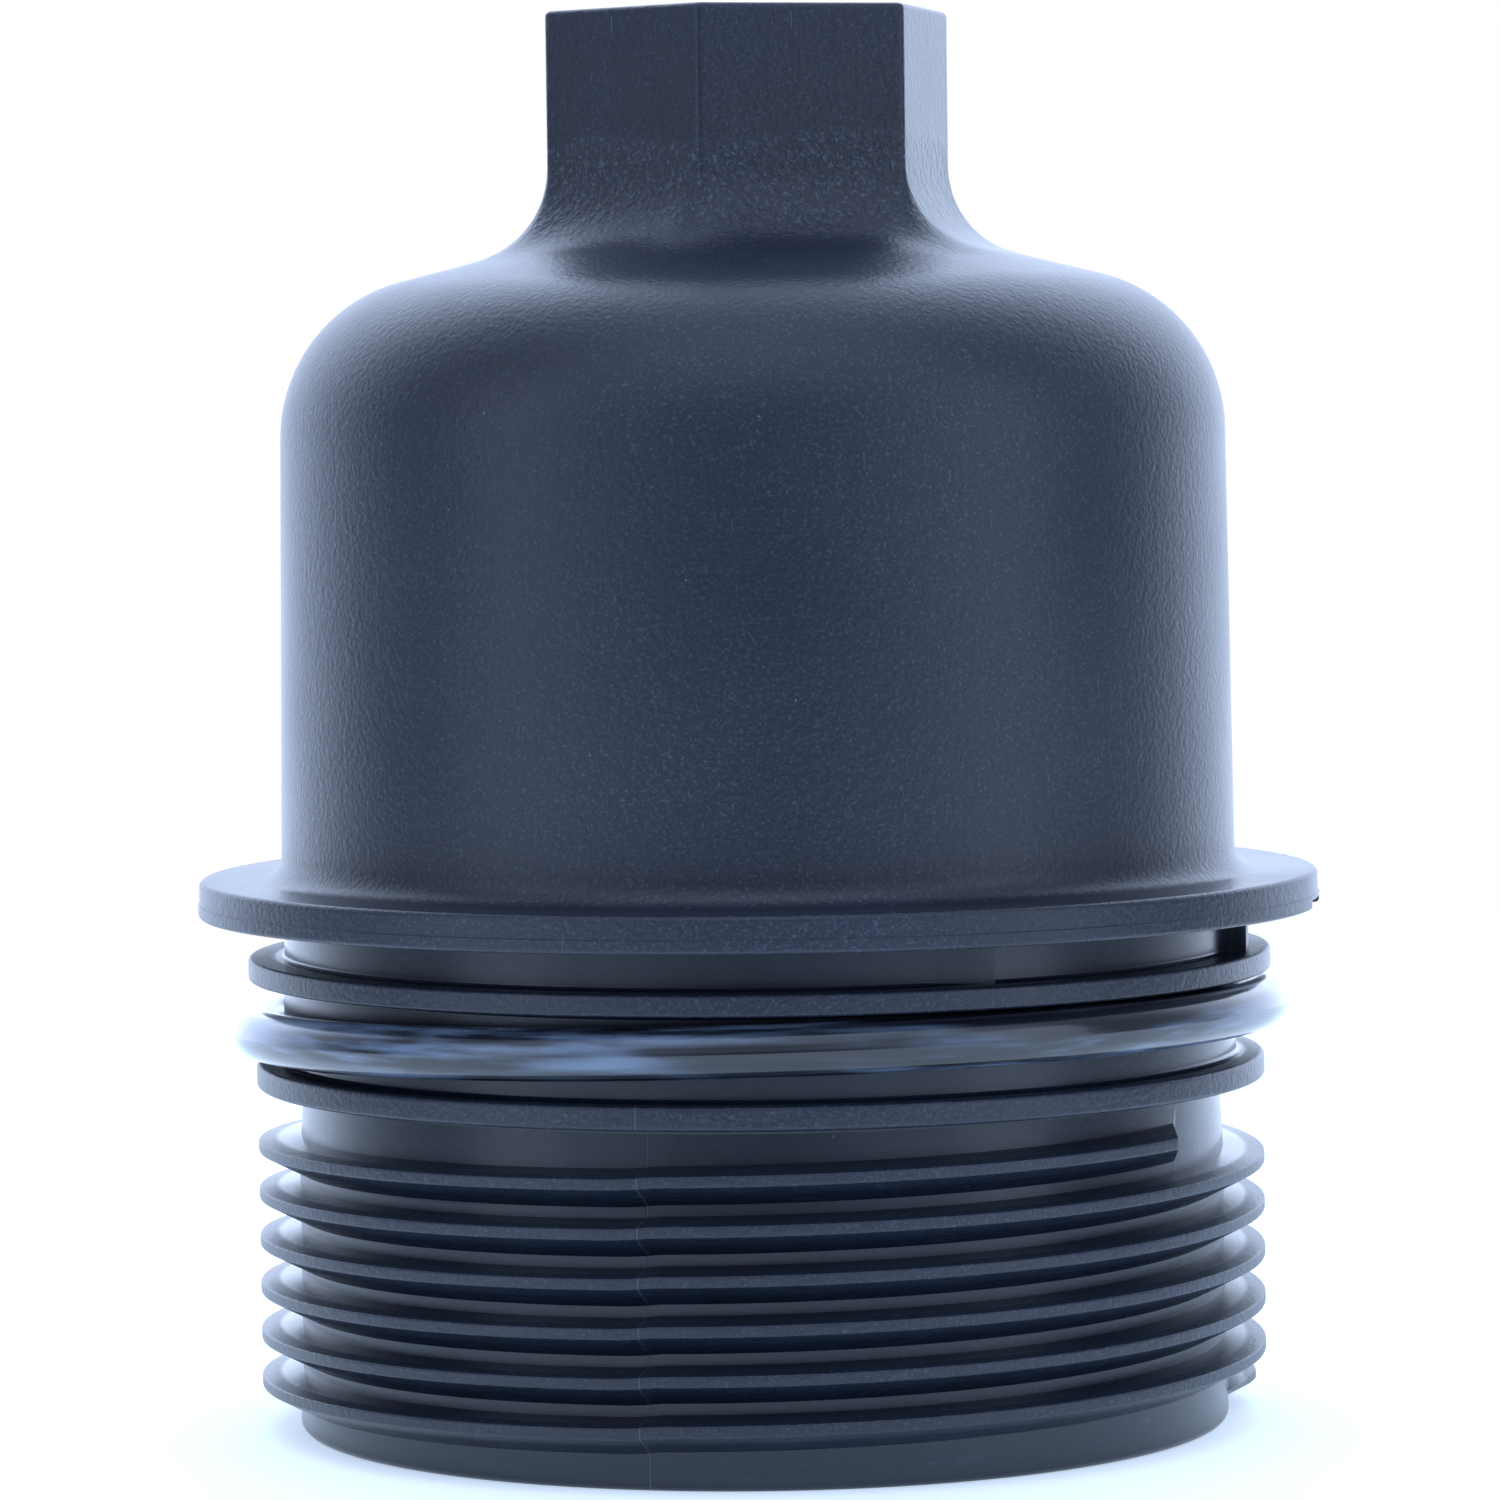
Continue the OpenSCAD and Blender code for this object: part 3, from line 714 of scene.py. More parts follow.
def mould_grain(name):
    """Fine pits of a spark-eroded mould, with a coarser roll under them."""
    tree, given, out = new_group(name, {"Size": 0.25 * MM}, ("Height", "Speckle"))
    scale = calc(tree, "DIVIDE", 1.0, given.outputs["Size"])
    fine = noise(tree, given.outputs["Position"], scale, 3.0, 0.6)
    cells = add(
        tree, "ShaderNodeTexVoronoi", {
            "Vector": given.outputs["Position"],
            "Scale": calc(tree, "MULTIPLY", scale, 0.55)},
        feature="SMOOTH_F1").outputs["Distance"]
    broad = noise(tree, given.outputs["Position"], calc(tree, "MULTIPLY", scale, 0.22), 2.0)
    height = calc(tree, "ADD", calc(tree, "MULTIPLY", fine, 0.9), cells)
    tree.links.new(calc(tree, "ADD", height, calc(tree, "MULTIPLY", broad, 0.5)),
                   out.inputs["Height"])
    tree.links.new(between(tree, fine, 0.53, 0.7), out.inputs["Speckle"])
    return tree


def dust_specks(name):
    """A few bright specks, each a small dot in a random cell."""
    tree, given, out = new_group(name, {"Spacing": 3 * MM, "Share": 0.3}, ("Mask",))
    dots = add(
        tree, "ShaderNodeTexVoronoi", {
            "Vector": given.outputs["Position"],
            "Scale": calc(tree, "DIVIDE", 1.0, given.outputs["Spacing"])})
    near = between(tree, dots.outputs["Distance"], 0.02, 0.045, 1.0, 0.0)
    pick = add(tree, "ShaderNodeSeparateColor", {"Color": dots.outputs["Color"]})
    kept = calc(tree, "LESS_THAN", pick.outputs["Red"], given.outputs["Share"])
    strength = calc(tree, "MULTIPLY_ADD", pick.outputs["Green"], 0.7, 0.3)
    tree.links.new(calc(tree, "MULTIPLY", calc(tree, "MULTIPLY", near, kept), strength),
                   out.inputs["Mask"])
    return tree


def drawn_streaks(name):
    """Marks drawn out along the axis or round it, by how far each way is stretched."""
    tree, given, out = new_group(
        name, {"Round": 400.0, "Along": 40.0, "Low": 0.5, "High": 0.75, "Detail": 5.0},
        ("Mask", "Height"))
    turn, reach, height_up = around(tree, given.outputs["Position"])
    bent = add(tree, "ShaderNodeCombineXYZ", {
        "X": calc(tree, "MULTIPLY", calc(tree, "MULTIPLY", turn, STREAK_R),
                  given.outputs["Round"]),
        "Y": calc(tree, "MULTIPLY", height_up, given.outputs["Along"]),
        "Z": calc(tree, "MULTIPLY", reach, given.outputs["Along"])}).outputs[0]
    marks = noise(tree, bent, 1.0, given.outputs["Detail"], 0.6)
    tree.links.new(marks, out.inputs["Height"])
    ramp = add(tree, "ShaderNodeMapRange", interpolation_type="SMOOTHSTEP", inputs={
        "Value": marks, "From Min": given.outputs["Low"], "From Max": given.outputs["High"]})
    tree.links.new(ramp.outputs["Result"], out.inputs["Mask"])
    return tree


def new_material(name):
    """A material, its tree, its Principled BSDF and the object's own coordinates."""
    made = bpy.data.materials.new(name)
    made.use_nodes = True
    tree = made.node_tree
    shader = tree.nodes["Principled BSDF"]
    return made, tree, shader, add(tree, "ShaderNodeTexCoord").outputs["Object"]


def finish_shader(tree, shader, colour, roughness, height, depth, strength=1.0):
    """Links a material's colour, roughness and bump height to its shader."""
    tree.links.new(colour, shader.inputs["Base Color"])
    tree.links.new(roughness, shader.inputs["Roughness"])
    bump = add(tree, "ShaderNodeBump",
               {"Height": height, "Distance": depth, "Strength": strength})
    tree.links.new(bump.outputs["Normal"], shader.inputs["Normal"])


def upright_line(tree, turn, height_up, azimuth, width, low, high):
    """A mask for a fine upright line at an azimuth, between two heights."""
    off = calc(tree, "ABSOLUTE", calc(tree, "SUBTRACT", turn, math.radians(azimuth + 90)))
    line = between(tree, off, width, width * 2.2, 1.0, 0.0)
    line = calc(tree, "MULTIPLY", line, calc(tree, "GREATER_THAN", height_up, low))
    return calc(tree, "MULTIPLY", line, calc(tree, "LESS_THAN", height_up, high))


def cap_plastic(finishes, seam_turn):
    """Dark moulded plastic: grained outside, smooth and drawn in the necks."""
    made, tree, shader, where = new_material("cap_plastic")
    turn, reach, height_up = around(tree, where)
    fine = use_group(tree, mould_grain, where, size=0.23 * MM)
    coarse = use_group(tree, mould_grain, where, size=0.34 * MM)
    specks = use_group(tree, dust_specks, where, spacing=2.4 * MM, share=0.22)
    drawn = use_group(tree, drawn_streaks, where, round=2600.0, along=160.0)
    scuffs = use_group(tree, drawn_streaks, where, round=300.0, along=900.0, low=0.6, high=0.8)
    patches = noise(tree, where, 42.0, 3.0)
    above = between(tree, height_up, FLANGE_TOP - 3 * MM, FLANGE_TOP - 2.4 * MM)
    lands = between(tree, reach, 35.9 * MM, 36.5 * MM)
    grained = calc(tree, "MULTIPLY_ADD", calc(tree, "MAXIMUM", above, lands), 0.85, 0.15)
    wavy = calc(tree, "MULTIPLY_ADD", noise(tree, where, 160.0), 2.4 * MM, height_up)
    foot = calc(tree, "MULTIPLY",
                between(tree, wavy, FILLET_Z - 5 * MM, FILLET_Z - 2.6 * MM),
                between(tree, wavy, FILLET_Z + 2.6 * MM, FILLET_Z + 3.6 * MM, 1.0, 0.0))
    flats = between(tree, wavy, FILLET_Z + 3 * MM, FILLET_Z + 5 * MM, 0.0, 0.35)
    grain = calc(tree, "ADD", calc(tree, "MULTIPLY", fine["Height"], grained),
                 calc(tree, "MULTIPLY", coarse["Height"], calc(tree, "MULTIPLY", foot, 2.2)))
    grain = calc(tree, "ADD", grain, calc(tree, "MULTIPLY", drawn["Height"], flats))
    marks = upright_line(tree, turn, height_up, seam_turn, SEAM_HALF_WIDTH, 0.0, LOWER_RIB[1])
    for azimuth, width, low, high in MOULD_TICKS:
        tick = upright_line(tree, turn, height_up, azimuth, width, low, high)
        marks = calc(tree, "MAXIMUM", marks, tick)
    grain = calc(tree, "MULTIPLY_ADD", marks, 2.2, grain)
    pale = calc(tree, "MULTIPLY", fine["Speckle"],
                between(tree, patches, 0.3, 0.7, 0.25, 0.5))
    pale = calc(tree, "MULTIPLY", pale, grained)
    pale = calc(tree, "MAXIMUM", pale,
                calc(tree, "MULTIPLY", coarse["Speckle"], calc(tree, "MULTIPLY", foot, 0.8)))
    pale = calc(tree, "MAXIMUM", pale, calc(tree, "MULTIPLY", specks["Mask"], 2.6))
    pale = calc(tree, "MAXIMUM", pale, calc(tree, "MULTIPLY", marks, 0.5))
    below = between(tree, height_up, LOWER_RIB[1], UPPER_RIB[1], 0.24, 0.06)
    pale = calc(tree, "MAXIMUM", pale, calc(tree, "MULTIPLY", scuffs["Mask"], below))
    tinted = mix_colour(tree, between(tree, patches, 0.3, 0.75),
                        finishes.cap_colour, [c * 1.3 for c in finishes.cap_colour])
    colour = mix_colour(tree, pale, tinted, finishes.cap_bloom)
    dull = calc(tree, "MULTIPLY_ADD", grained, 0.12, 0.22)
    dull = calc(tree, "ADD", dull, between(tree, patches, 0.3, 0.7, -0.02, 0.04))
    finish_shader(tree, shader, colour, dull, grain, CAP_GRAIN)
    return made


def rubber(name, finishes, low, share):
    """Glossy dark rubber, with a bloom that is smeared round the axis."""
    made, tree, shader, where = new_material(name)
    smear = use_group(tree, drawn_streaks, where, round=95.0, along=800.0, low=low, high=0.66,
                      detail=2.6)
    wipe = use_group(tree, drawn_streaks, where, round=40.0, along=260.0, low=0.4, high=0.62,
                     detail=2.0)
    fine = use_group(tree, mould_grain, where, size=0.3 * MM)
    specks = use_group(tree, dust_specks, where, spacing=2.6 * MM, share=0.35)
    mask = calc(tree, "MULTIPLY", smear["Mask"], wipe["Mask"])
    mask = calc(tree, "MULTIPLY", mask, share)
    mask = calc(tree, "MAXIMUM", mask, calc(tree, "MULTIPLY", specks["Mask"], 0.6))
    colour = mix_colour(tree, mask, finishes.rubber_colour, finishes.rubber_bloom)
    dull = calc(tree, "MULTIPLY_ADD", mask, 0.2, 0.16)
    height = calc(tree, "ADD", calc(tree, "MULTIPLY", fine["Height"], 0.2), smear["Height"])
    shader.inputs["Coat Weight"].default_value = 0.5
    shader.inputs["Coat Roughness"].default_value = 0.12
    finish_shader(tree, shader, colour, dull, height, RUBBER_GRAIN, 0.8)
    return made


def inner_rubber(finishes):
    """The cleaner rubber of the valve's and the end plates' seals."""
    return bpy.data.materials.get("inner_rubber") or rubber("inner_rubber", finishes, 0.6, 0.3)


def filled_plastic(name, colour, dull):
    """Glass-filled plastic with faint flow marks and a matt grain."""
    made, tree, shader, where = new_material(name)
    fine = use_group(tree, mould_grain, where, size=0.3 * MM)
    flow = use_group(tree, drawn_streaks, where, round=260.0, along=420.0, low=0.45, high=0.8)
    specks = use_group(tree, dust_specks, where, spacing=3 * MM, share=0.3)
    pale = calc(tree, "ADD", calc(tree, "MULTIPLY", flow["Mask"], 0.22),
                calc(tree, "MULTIPLY", fine["Speckle"], 0.12))
    pale = calc(tree, "MAXIMUM", pale, calc(tree, "MULTIPLY", specks["Mask"], 0.6))
    tinted = mix_colour(tree, pale, colour, [c * 3 + 0.02 for c in colour])
    rough = calc(tree, "MULTIPLY_ADD", flow["Mask"], 0.12, dull)
    height = calc(tree, "ADD", fine["Height"], flow["Height"])
    finish_shader(tree, shader, tinted, rough, height, FILLED_GRAIN, 0.7)
    return made


def plated_steel(name, colour, round_scale, along_scale):
    """Plated steel with fine drawn lines and dull patches."""
    made, tree, shader, where = new_material(name)
    lines = use_group(tree, drawn_streaks, where, round=round_scale, along=along_scale,
                      low=0.35, high=0.7)
    patches = noise(tree, where, 260.0, 4.0)
    tinted = mix_colour(tree, calc(tree, "MULTIPLY", lines["Mask"], 0.45),
                        colour, [c * 0.45 for c in colour])
    tinted = mix_colour(tree, between(tree, patches, 0.5, 0.8, 0.0, 0.5),
                        tinted, (colour[0], colour[1] * 0.92, colour[2] * 0.78))
    rough = calc(tree, "MULTIPLY_ADD", patches, 0.25, 0.18)
    shader.inputs["Metallic"].default_value = 1.0
    finish_shader(tree, shader, tinted, rough, lines["Height"], DRAWN_LINES, 0.6)
    return made


def filter_paper(finishes):
    """Resin-soaked paper: long fibres, small pits, darker outer folds, and painted shade that
    darkens it towards the pleats' inner folds.
    """
    made, tree, shader, where = new_material("filter_paper")
    _, reach, _ = around(tree, where)
    fibres = noise(tree, where, 1500.0, 6.0, 0.7)
    cloud = noise(tree, where, 120.0, 4.0, 0.6)
    pits = add(tree, "ShaderNodeTexVoronoi",
               {"Vector": where, "Scale": 1100.0}).outputs["Distance"]
    fold = between(tree, reach, 27.6 * MM, 28.5 * MM, 0.0, 0.3)
    # Painted shade: deep darkens the paper towards the inner radius, down in the pleats'
    # valleys
    deep = between(tree, reach, 16 * MM, 25 * MM, 0.55, 0.0)
    paper = finishes.paper_colour
    shade = mix_colour(tree, between(tree, fibres, 0.3, 0.7),
                       [c * 0.78 for c in paper], [min(1, c * 1.12) for c in paper])
    shade = mix_colour(tree, between(tree, cloud, 0.35, 0.7, 0.0, 0.35), shade,
                       (paper[0] * 0.85, paper[1] * 0.74, paper[2] * 0.6))
    # Darker paper for the outer folds' own tone and for the painted shade in the valleys
    shade = mix_colour(tree, calc(tree, "ADD", fold, deep), shade, [c * 0.6 for c in paper])
    rough = between(tree, fibres, 0.3, 0.7, 0.82, 0.98)
    height = calc(tree, "ADD", fibres, calc(tree, "MULTIPLY", pits, 0.7))
    finish_shader(tree, shader, shade, rough, height, PAPER_GRAIN)
    return made


def set_glue(finishes):
    """Hardened glue: cloudy, slightly wet, with small bubbles."""
    made, tree, shader, where = new_material("set_glue")
    cloud = noise(tree, where, 300.0, 4.0)
    bubbles = add(tree, "ShaderNodeTexVoronoi",
                  {"Vector": where, "Scale": 900.0}).outputs["Distance"]
    glue = finishes.glue_colour
    colour = mix_colour(tree, between(tree, cloud, 0.35, 0.7), glue, [c * 0.8 for c in glue])
    rough = between(tree, cloud, 0.3, 0.7, 0.28, 0.48)
    height = calc(tree, "ADD", cloud, between(tree, bubbles, 0.0, 0.3, 0.0, 0.6))
    finish_shader(tree, shader, colour, rough, height, GLUE_GRAIN)
    return made


def finish_piece(piece, material, body, slot, *nodes):
    """Gives a piece its material, and ties it to its body and CAD nodes; its slot is not
    used. Its shading follows its broad faces, so that small roundings don't bend them."""
    normals = piece.modifiers.new("Normals", "WEIGHTED_NORMAL")
    normals.mode = "FACE_AREA"
    normals.weight = 50
    normals.keep_sharp = True
    piece.data.materials.clear()
    piece.data.materials.append(material)
    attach(piece, body)
    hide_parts(*nodes)


def settings(context):
    """The sizes and the finishes that the operators build from."""
    return context.scene.filter_cap_sizes, context.scene.filter_cap_finishes


# ---------------------------------------------------------------- inner pieces

CAGE_WALL = 1.6 * MM
LEDGE_R = 10.4 * MM
LEDGE_Z = (52.5 * MM, 54.4 * MM)
WINDOW_ROWS = 4
WINDOW_Z = 11 * MM
WINDOW_STEP = 10.35 * MM
WINDOW_HEIGHT = 7.95 * MM
WINDOW_TURN = 7
WINDOW_SWEEP = 76
VALVE_WINDOW_Z = (60 * MM, 66 * MM)
WASHER_Z = (76.2 * MM, 78.2 * MM)
HOOK_Z = (88.3 * MM, 88.9 * MM)
HOOK_R = 10.55 * MM
FINGER_R = (7.9 * MM, 9.55 * MM)
FINGER_FOOT_R = 11.5 * MM
FINGER_FOOT_Z = 84.2 * MM
FINGER_TURN = 25
FINGER_SWEEP = 40
SEAT_RIM_DROP = 2.55 * MM
STEM_R = 2 * MM
DISC_THICK = 1.3 * MM
COIL_R = 6.1 * MM
COIL_WIRE = 0.5 * MM
COIL_TURNS = 6
COIL_STEPS = 48
PLEATS = 48
PLEAT_LEVELS = 16
PLEAT_SWAY = (0.0035, 0.002)
PAPER_THICK = 0.75 * MM
FOLD_TIP = 0.6 * MM
FOLD_ROOT = 0.47 * MM
PAPER_INNER_R = 15.8 * MM
RIM_R = (14.3 * MM, 15.3 * MM, 29 * MM)
UPPER_PLATE_Z = (69 * MM, 71 * MM)
LOWER_PLATE_Z = (4 * MM, 6 * MM)
UPPER_HUB_R = (16.05 * MM, 17.55 * MM)
LOWER_HUB_R = (12.6 * MM, 14.1 * MM)
PIPE_WEB_R = 10.6 * MM
DISH = 0.35 * MM
DISH_R = (21 * MM, 27 * MM)
DISH_EDGE = 0.2 * MM
UPPER_LIP_R = 14.1 * MM
LOWER_LIP_R = 10 * MM
GLUE_DIP = 0.22
BEAD_R = (28.65 * MM, 28.9 * MM)
BEAD_TURN = math.radians(93.5)
BEAD_SWEEP = math.radians(353)


def window_cutter(inner, outer, low, high, start):
    """A cutter for one of the cage's windows, with its four corners rounded."""
    sweep = math.radians(WINDOW_SWEEP)
    cutter = sector([(inner, low), (outer, low), (outer, high), (inner, high)],
                    start, sweep, 38)
    corners = []
    for edge in cutter.edges:
        a, b = (v.co for v in edge.verts)
        turn = math.atan2(a.y, a.x) - start
        at_end = min(abs(math.sin(turn)), abs(math.sin(turn - sweep))) < SAME_TURN
        if at_end and abs(a.xy.length - b.xy.length) > 1 * MM:
            corners.append(edge)
    bmesh.ops.bevel(cutter, geom=corners, offset=0.9 * MM, segments=3, profile=0.5,
                    material=-1, affect="EDGES")
    return cutter


def cage_tube(name):
    """The support tube with its rows of windows and the ledge under the spring seat."""
    low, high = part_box("cage_tube")
    wall = high.x - CAGE_WALL
    piece = new_object(name, lathe(soften([
        (wall, low.z, 0.3 * MM), (high.x, low.z, 0.5 * MM),
        (high.x, high.z, 0.15 * MM), (wall, high.z, 0.15 * MM),
        (wall, LEDGE_Z[1], 0.1 * MM), (LEDGE_R, LEDGE_Z[1], 0.3 * MM),
        (LEDGE_R, LEDGE_Z[0], 0.3 * MM), (wall, LEDGE_Z[0], 0.1 * MM),
    ], closed=True), 192, closed=True))
    rows = [(WINDOW_Z + k * WINDOW_STEP, WINDOW_Z + WINDOW_HEIGHT + k * WINDOW_STEP)
            for k in range(WINDOW_ROWS)]
    windows = [
        window_cutter(wall - 1 * MM, high.x + 1 * MM, bottom, top,
                      math.radians(i * 90 + WINDOW_TURN))
        for bottom, top in (*rows, VALVE_WINDOW_Z) for i in range(4)
    ]
    combine(piece, merge(*windows), "DIFFERENCE")
    crease(piece)
    return piece


def clip_collar(name):
    """The washer that carries the valve's seat, a skirt and four clip fingers."""
    low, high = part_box("clip_collar")
    under, top = WASHER_Z
    seat = under - 0.3 * MM
    piece = new_object(name, lathe(soften([
        (7 * MM, seat, 0.12 * MM), (8 * MM, seat, 0.12 * MM),
        (8 * MM, under, 0.1 * MM), (11 * MM, under, 0.2 * MM), (11 * MM, low.z, 0.3 * MM),
        (12.35 * MM, low.z, 0.3 * MM), (12.35 * MM, under, 0.1 * MM),
        (high.x, under, 0.35 * MM), (high.x, top, 0.35 * MM), (7 * MM, top, 0.3 * MM),
    ], closed=True), 192, closed=True))
    inner, outer = FINGER_R
    finger = soften([
        (inner, top - 0.5 * MM, 0), (FINGER_FOOT_R, top - 0.5 * MM, 0),
        (FINGER_FOOT_R, FINGER_FOOT_Z, 0.4 * MM), (outer, FINGER_FOOT_Z, 0.3 * MM),
        (outer, HOOK_Z[0], 0.1 * MM), (HOOK_R, HOOK_Z[0], 0.15 * MM),
        (HOOK_R, HOOK_Z[1], 0.2 * MM), (outer, high.z, 0.3 * MM), (inner, high.z, 0.3 * MM),
    ], closed=True)
    fingers = [
        sector(finger, math.radians(90 * i + FINGER_TURN), math.radians(FINGER_SWEEP), 20)
        for i in range(4)
    ]
    combine(piece, merge(*fingers), "UNION")
    crease(piece)
    return piece


def spring_seat(name):
    """The hub that guides the valve's stem, with a spring land, arms and a rim."""
    low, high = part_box("spring_seat")
    rim = high.z - SEAT_RIM_DROP
    rings = (
        [(2.1 * MM, low.z, 0.2 * MM), (3.8 * MM, low.z, 0.3 * MM),
         (3.8 * MM, high.z, 0.2 * MM), (2.1 * MM, high.z, 0.2 * MM)],
        [(4.8 * MM, high.z - 1 * MM, 0.1 * MM), (7.4 * MM, high.z - 1 * MM, 0.1 * MM),
         (7.4 * MM, high.z, 0.2 * MM), (4.8 * MM, high.z, 0.2 * MM)],
        [(9.9 * MM, rim, 0.3 * MM), (high.x, rim, 0.3 * MM),
         (high.x, high.z, 0.3 * MM), (9.9 * MM, high.z, 0.3 * MM)],
    )
    piece = new_object(name, merge(
        *(lathe(soften(ring, closed=True), 96, closed=True) for ring in rings)))
    arms = [
        block((3.3 * MM, -1.1 * MM, rim), (10.4 * MM, 1.1 * MM, high.z - 0.02 * MM),
              i * math.pi / 2, 0.2 * MM)
        for i in range(4)
    ]
    combine(piece, merge(*arms), "UNION")
    crease(piece)
    return piece


def spring_coil():
    """Round wire wound into the valve's spring."""
    low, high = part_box("valve_spring")
    steps = COIL_TURNS * COIL_STEPS
    bm = bmesh.new()
    bmesh.ops.create_circle(bm, cap_ends=False, radius=COIL_WIRE - 0.01 * MM, segments=16)
    bmesh.ops.rotate(bm, verts=bm.verts[:], cent=(0, 0, 0),
                     matrix=Matrix.Rotation(math.pi / 2, 3, "X"))
    bmesh.ops.translate(bm, verts=bm.verts[:], vec=(COIL_R, 0, low.z + COIL_WIRE))
    rise = (high.z - low.z - 2 * COIL_WIRE) / steps
    bmesh.ops.spin(bm, geom=bm.verts[:] + bm.edges[:], cent=(0, 0, 0), axis=(0, 0, 1),
                   dvec=(0, 0, rise), angle=TURN * COIL_TURNS, steps=steps,
                   use_merge=False, use_duplicate=False)
    bmesh.ops.holes_fill(bm, edges=bm.edges[:], sides=0)
    bmesh.ops.recalc_face_normals(bm, faces=bm.faces[:])
    return bm


def upper_plate_outline():
    """Section of the upper end plate: rims that point down and a seal hub."""
    low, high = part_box("upper_end_plate")
    under, top = UPPER_PLATE_Z
    dish = top - DISH
    bore, rim, outer_rim = RIM_R
    hub, hub_r = UPPER_HUB_R
    return soften([
        (bore, low.z, 0.25 * MM), (rim, low.z, 0.25 * MM),
        (rim, under, 0.2 * MM), (outer_rim, under, 0.2 * MM),
        (outer_rim, low.z, 0.25 * MM), (high.x, low.z, 0.25 * MM),
        (high.x, top, 0.8 * MM), (DISH_R[1] + DISH_EDGE, top, 0.2 * MM),
        (DISH_R[1] - DISH_EDGE, dish, 0.2 * MM), (DISH_R[0] + DISH_EDGE, dish, 0.2 * MM),
        (DISH_R[0] - DISH_EDGE, top, 0.2 * MM), (hub_r, top, 0.3 * MM),
        (hub_r, high.z, 0.35 * MM), (hub, high.z, 0.3 * MM),
        (hub, top, 0.1 * MM), (bore, top, 0.25 * MM),
    ], closed=True)


def lower_plate_outline():
    """Section of the lower end plate: rims that point up and a seal hub below."""
    low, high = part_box("lower_end_plate")
    under, top = LOWER_PLATE_Z
    dish = under + DISH
    bore, rim, outer_rim = RIM_R
    hub, hub_r = LOWER_HUB_R
    web = top - 1 * MM
    return soften([
        (PIPE_WEB_R, web, 0.25 * MM), (hub, web, 0.1 * MM),
        (hub, low.z, 0.3 * MM), (hub_r, low.z, 0.35 * MM),
        (hub_r, under, 0.3 * MM), (DISH_R[0] - DISH_EDGE, under, 0.2 * MM),
        (DISH_R[0] + DISH_EDGE, dish, 0.2 * MM), (DISH_R[1] - DISH_EDGE, dish, 0.2 * MM),
        (DISH_R[1] + DISH_EDGE, under, 0.2 * MM), (high.x, under, 0.8 * MM),
        (high.x, high.z, 0.25 * MM), (outer_rim, high.z, 0.25 * MM),
        (outer_rim, top, 0.2 * MM), (rim, top, 0.2 * MM),
        (rim, high.z, 0.25 * MM), (bore, high.z, 0.25 * MM),
        (bore, top, 0.1 * MM), (PIPE_WEB_R, top, 0.25 * MM),
    ], closed=True)


def upper_seal_outline():
    """Section of the upper seal, with two lips towards the cage."""
    low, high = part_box("upper_seal")
    inner = UPPER_LIP_R
    return soften([
        (inner + 0.5 * MM, low.z, 0.2 * MM), (high.x, low.z, 0.2 * MM),
        (high.x, high.z, 0.3 * MM), (inner + 0.4 * MM, high.z, 0.2 * MM),
        (inner, high.z - 0.9 * MM, 0.2 * MM), (inner + 0.5 * MM, high.z - 1.7 * MM, 0.3 * MM),
        (inner, high.z - 2.6 * MM, 0.2 * MM),
    ], closed=True)


def lower_seal_outline():
    """Section of the lower seal, with a lead-in and two lips towards the pipe."""
    low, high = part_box("lower_seal")
    inner = LOWER_LIP_R
    return soften([
        (inner + 0.8 * MM, low.z, 0.2 * MM), (high.x, low.z, 0.3 * MM),
        (high.x, high.z, 0.2 * MM), (inner + 0.5 * MM, high.z, 0.2 * MM),
        (inner, high.z - 0.8 * MM, 0.2 * MM), (inner + 0.5 * MM, high.z - 1.6 * MM, 0.3 * MM),
        (inner, high.z - 2.5 * MM, 0.2 * MM),
    ], closed=True)


def pleated_paper(name):
    """The paper: one fold's line, repeated round the axis, raised and thickened."""
    low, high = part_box("filter_medium")
    outer = high.x - PAPER_THICK / 2 - FOLD_TIP
    inner = PAPER_INNER_R + PAPER_THICK / 2 + FOLD_ROOT
    half = 180 / PLEATS
    middle = (inner * math.cos(math.radians(half)), inner * math.sin(math.radians(half)))
    right = arc((outer, 0), FOLD_TIP, 0, 90, 4)
    valley = arc(middle, FOLD_ROOT, half - 90, half - 180, 4)
    side = [(right[-1][0] + (valley[0][0] - right[-1][0]) * k / 4,
             right[-1][1] + (valley[0][1] - right[-1][1]) * k / 4) for k in (1, 2, 3)]
    line = right + side + valley
    line = [(x, -y) for x, y in reversed(line[1:])] + line
    bm = bmesh.new()
    chain = [bm.verts.new((x, y, low.z)) for x, y in line]
    for pair in zip(chain, chain[1:]):
        bm.edges.new(pair)
    bmesh.ops.spin(bm, geom=bm.verts[:] + bm.edges[:], cent=(0, 0, 0), axis=(0, 0, 1),
                   angle=TURN * (PLEATS - 1) / PLEATS, steps=PLEATS - 1,
                   use_duplicate=True)
    bmesh.ops.remove_doubles(bm, verts=bm.verts[:], dist=0.005 * MM)
    edges = bm.edges[:]
    for _ in range(PLEAT_LEVELS):
        made = bmesh.ops.extrude_edge_only(bm, edges=edges)["geom"]
        edges = [g for g in made if isinstance(g, bmesh.types.BMEdge)]
        bmesh.ops.translate(bm, verts=[g for g in made if isinstance(g, bmesh.types.BMVert)],
                            vec=(0, 0, (high.z - low.z) / PLEAT_LEVELS))
    bmesh.ops.recalc_face_normals(bm, faces=bm.faces[:])
    for v in bm.verts:
        turn = math.atan2(v.co.y, v.co.x)
        free = math.sin(math.pi * (v.co.z - low.z) / (high.z - low.z))
        slow = PLEAT_SWAY[0] * math.sin(5 * turn + v.co.z * 90)
        quick = PLEAT_SWAY[1] * math.sin(17 * turn - v.co.z * 160)
        sway = free * (slow + quick)
        v.co.rotate(Matrix.Rotation(sway, 3, "Z"))
    piece = new_object(name, bm, math.pi)
    wall = piece.modifiers.new("Paper", "SOLIDIFY")
    wall.thickness = PAPER_THICK
    wall.offset = 0
    return piece


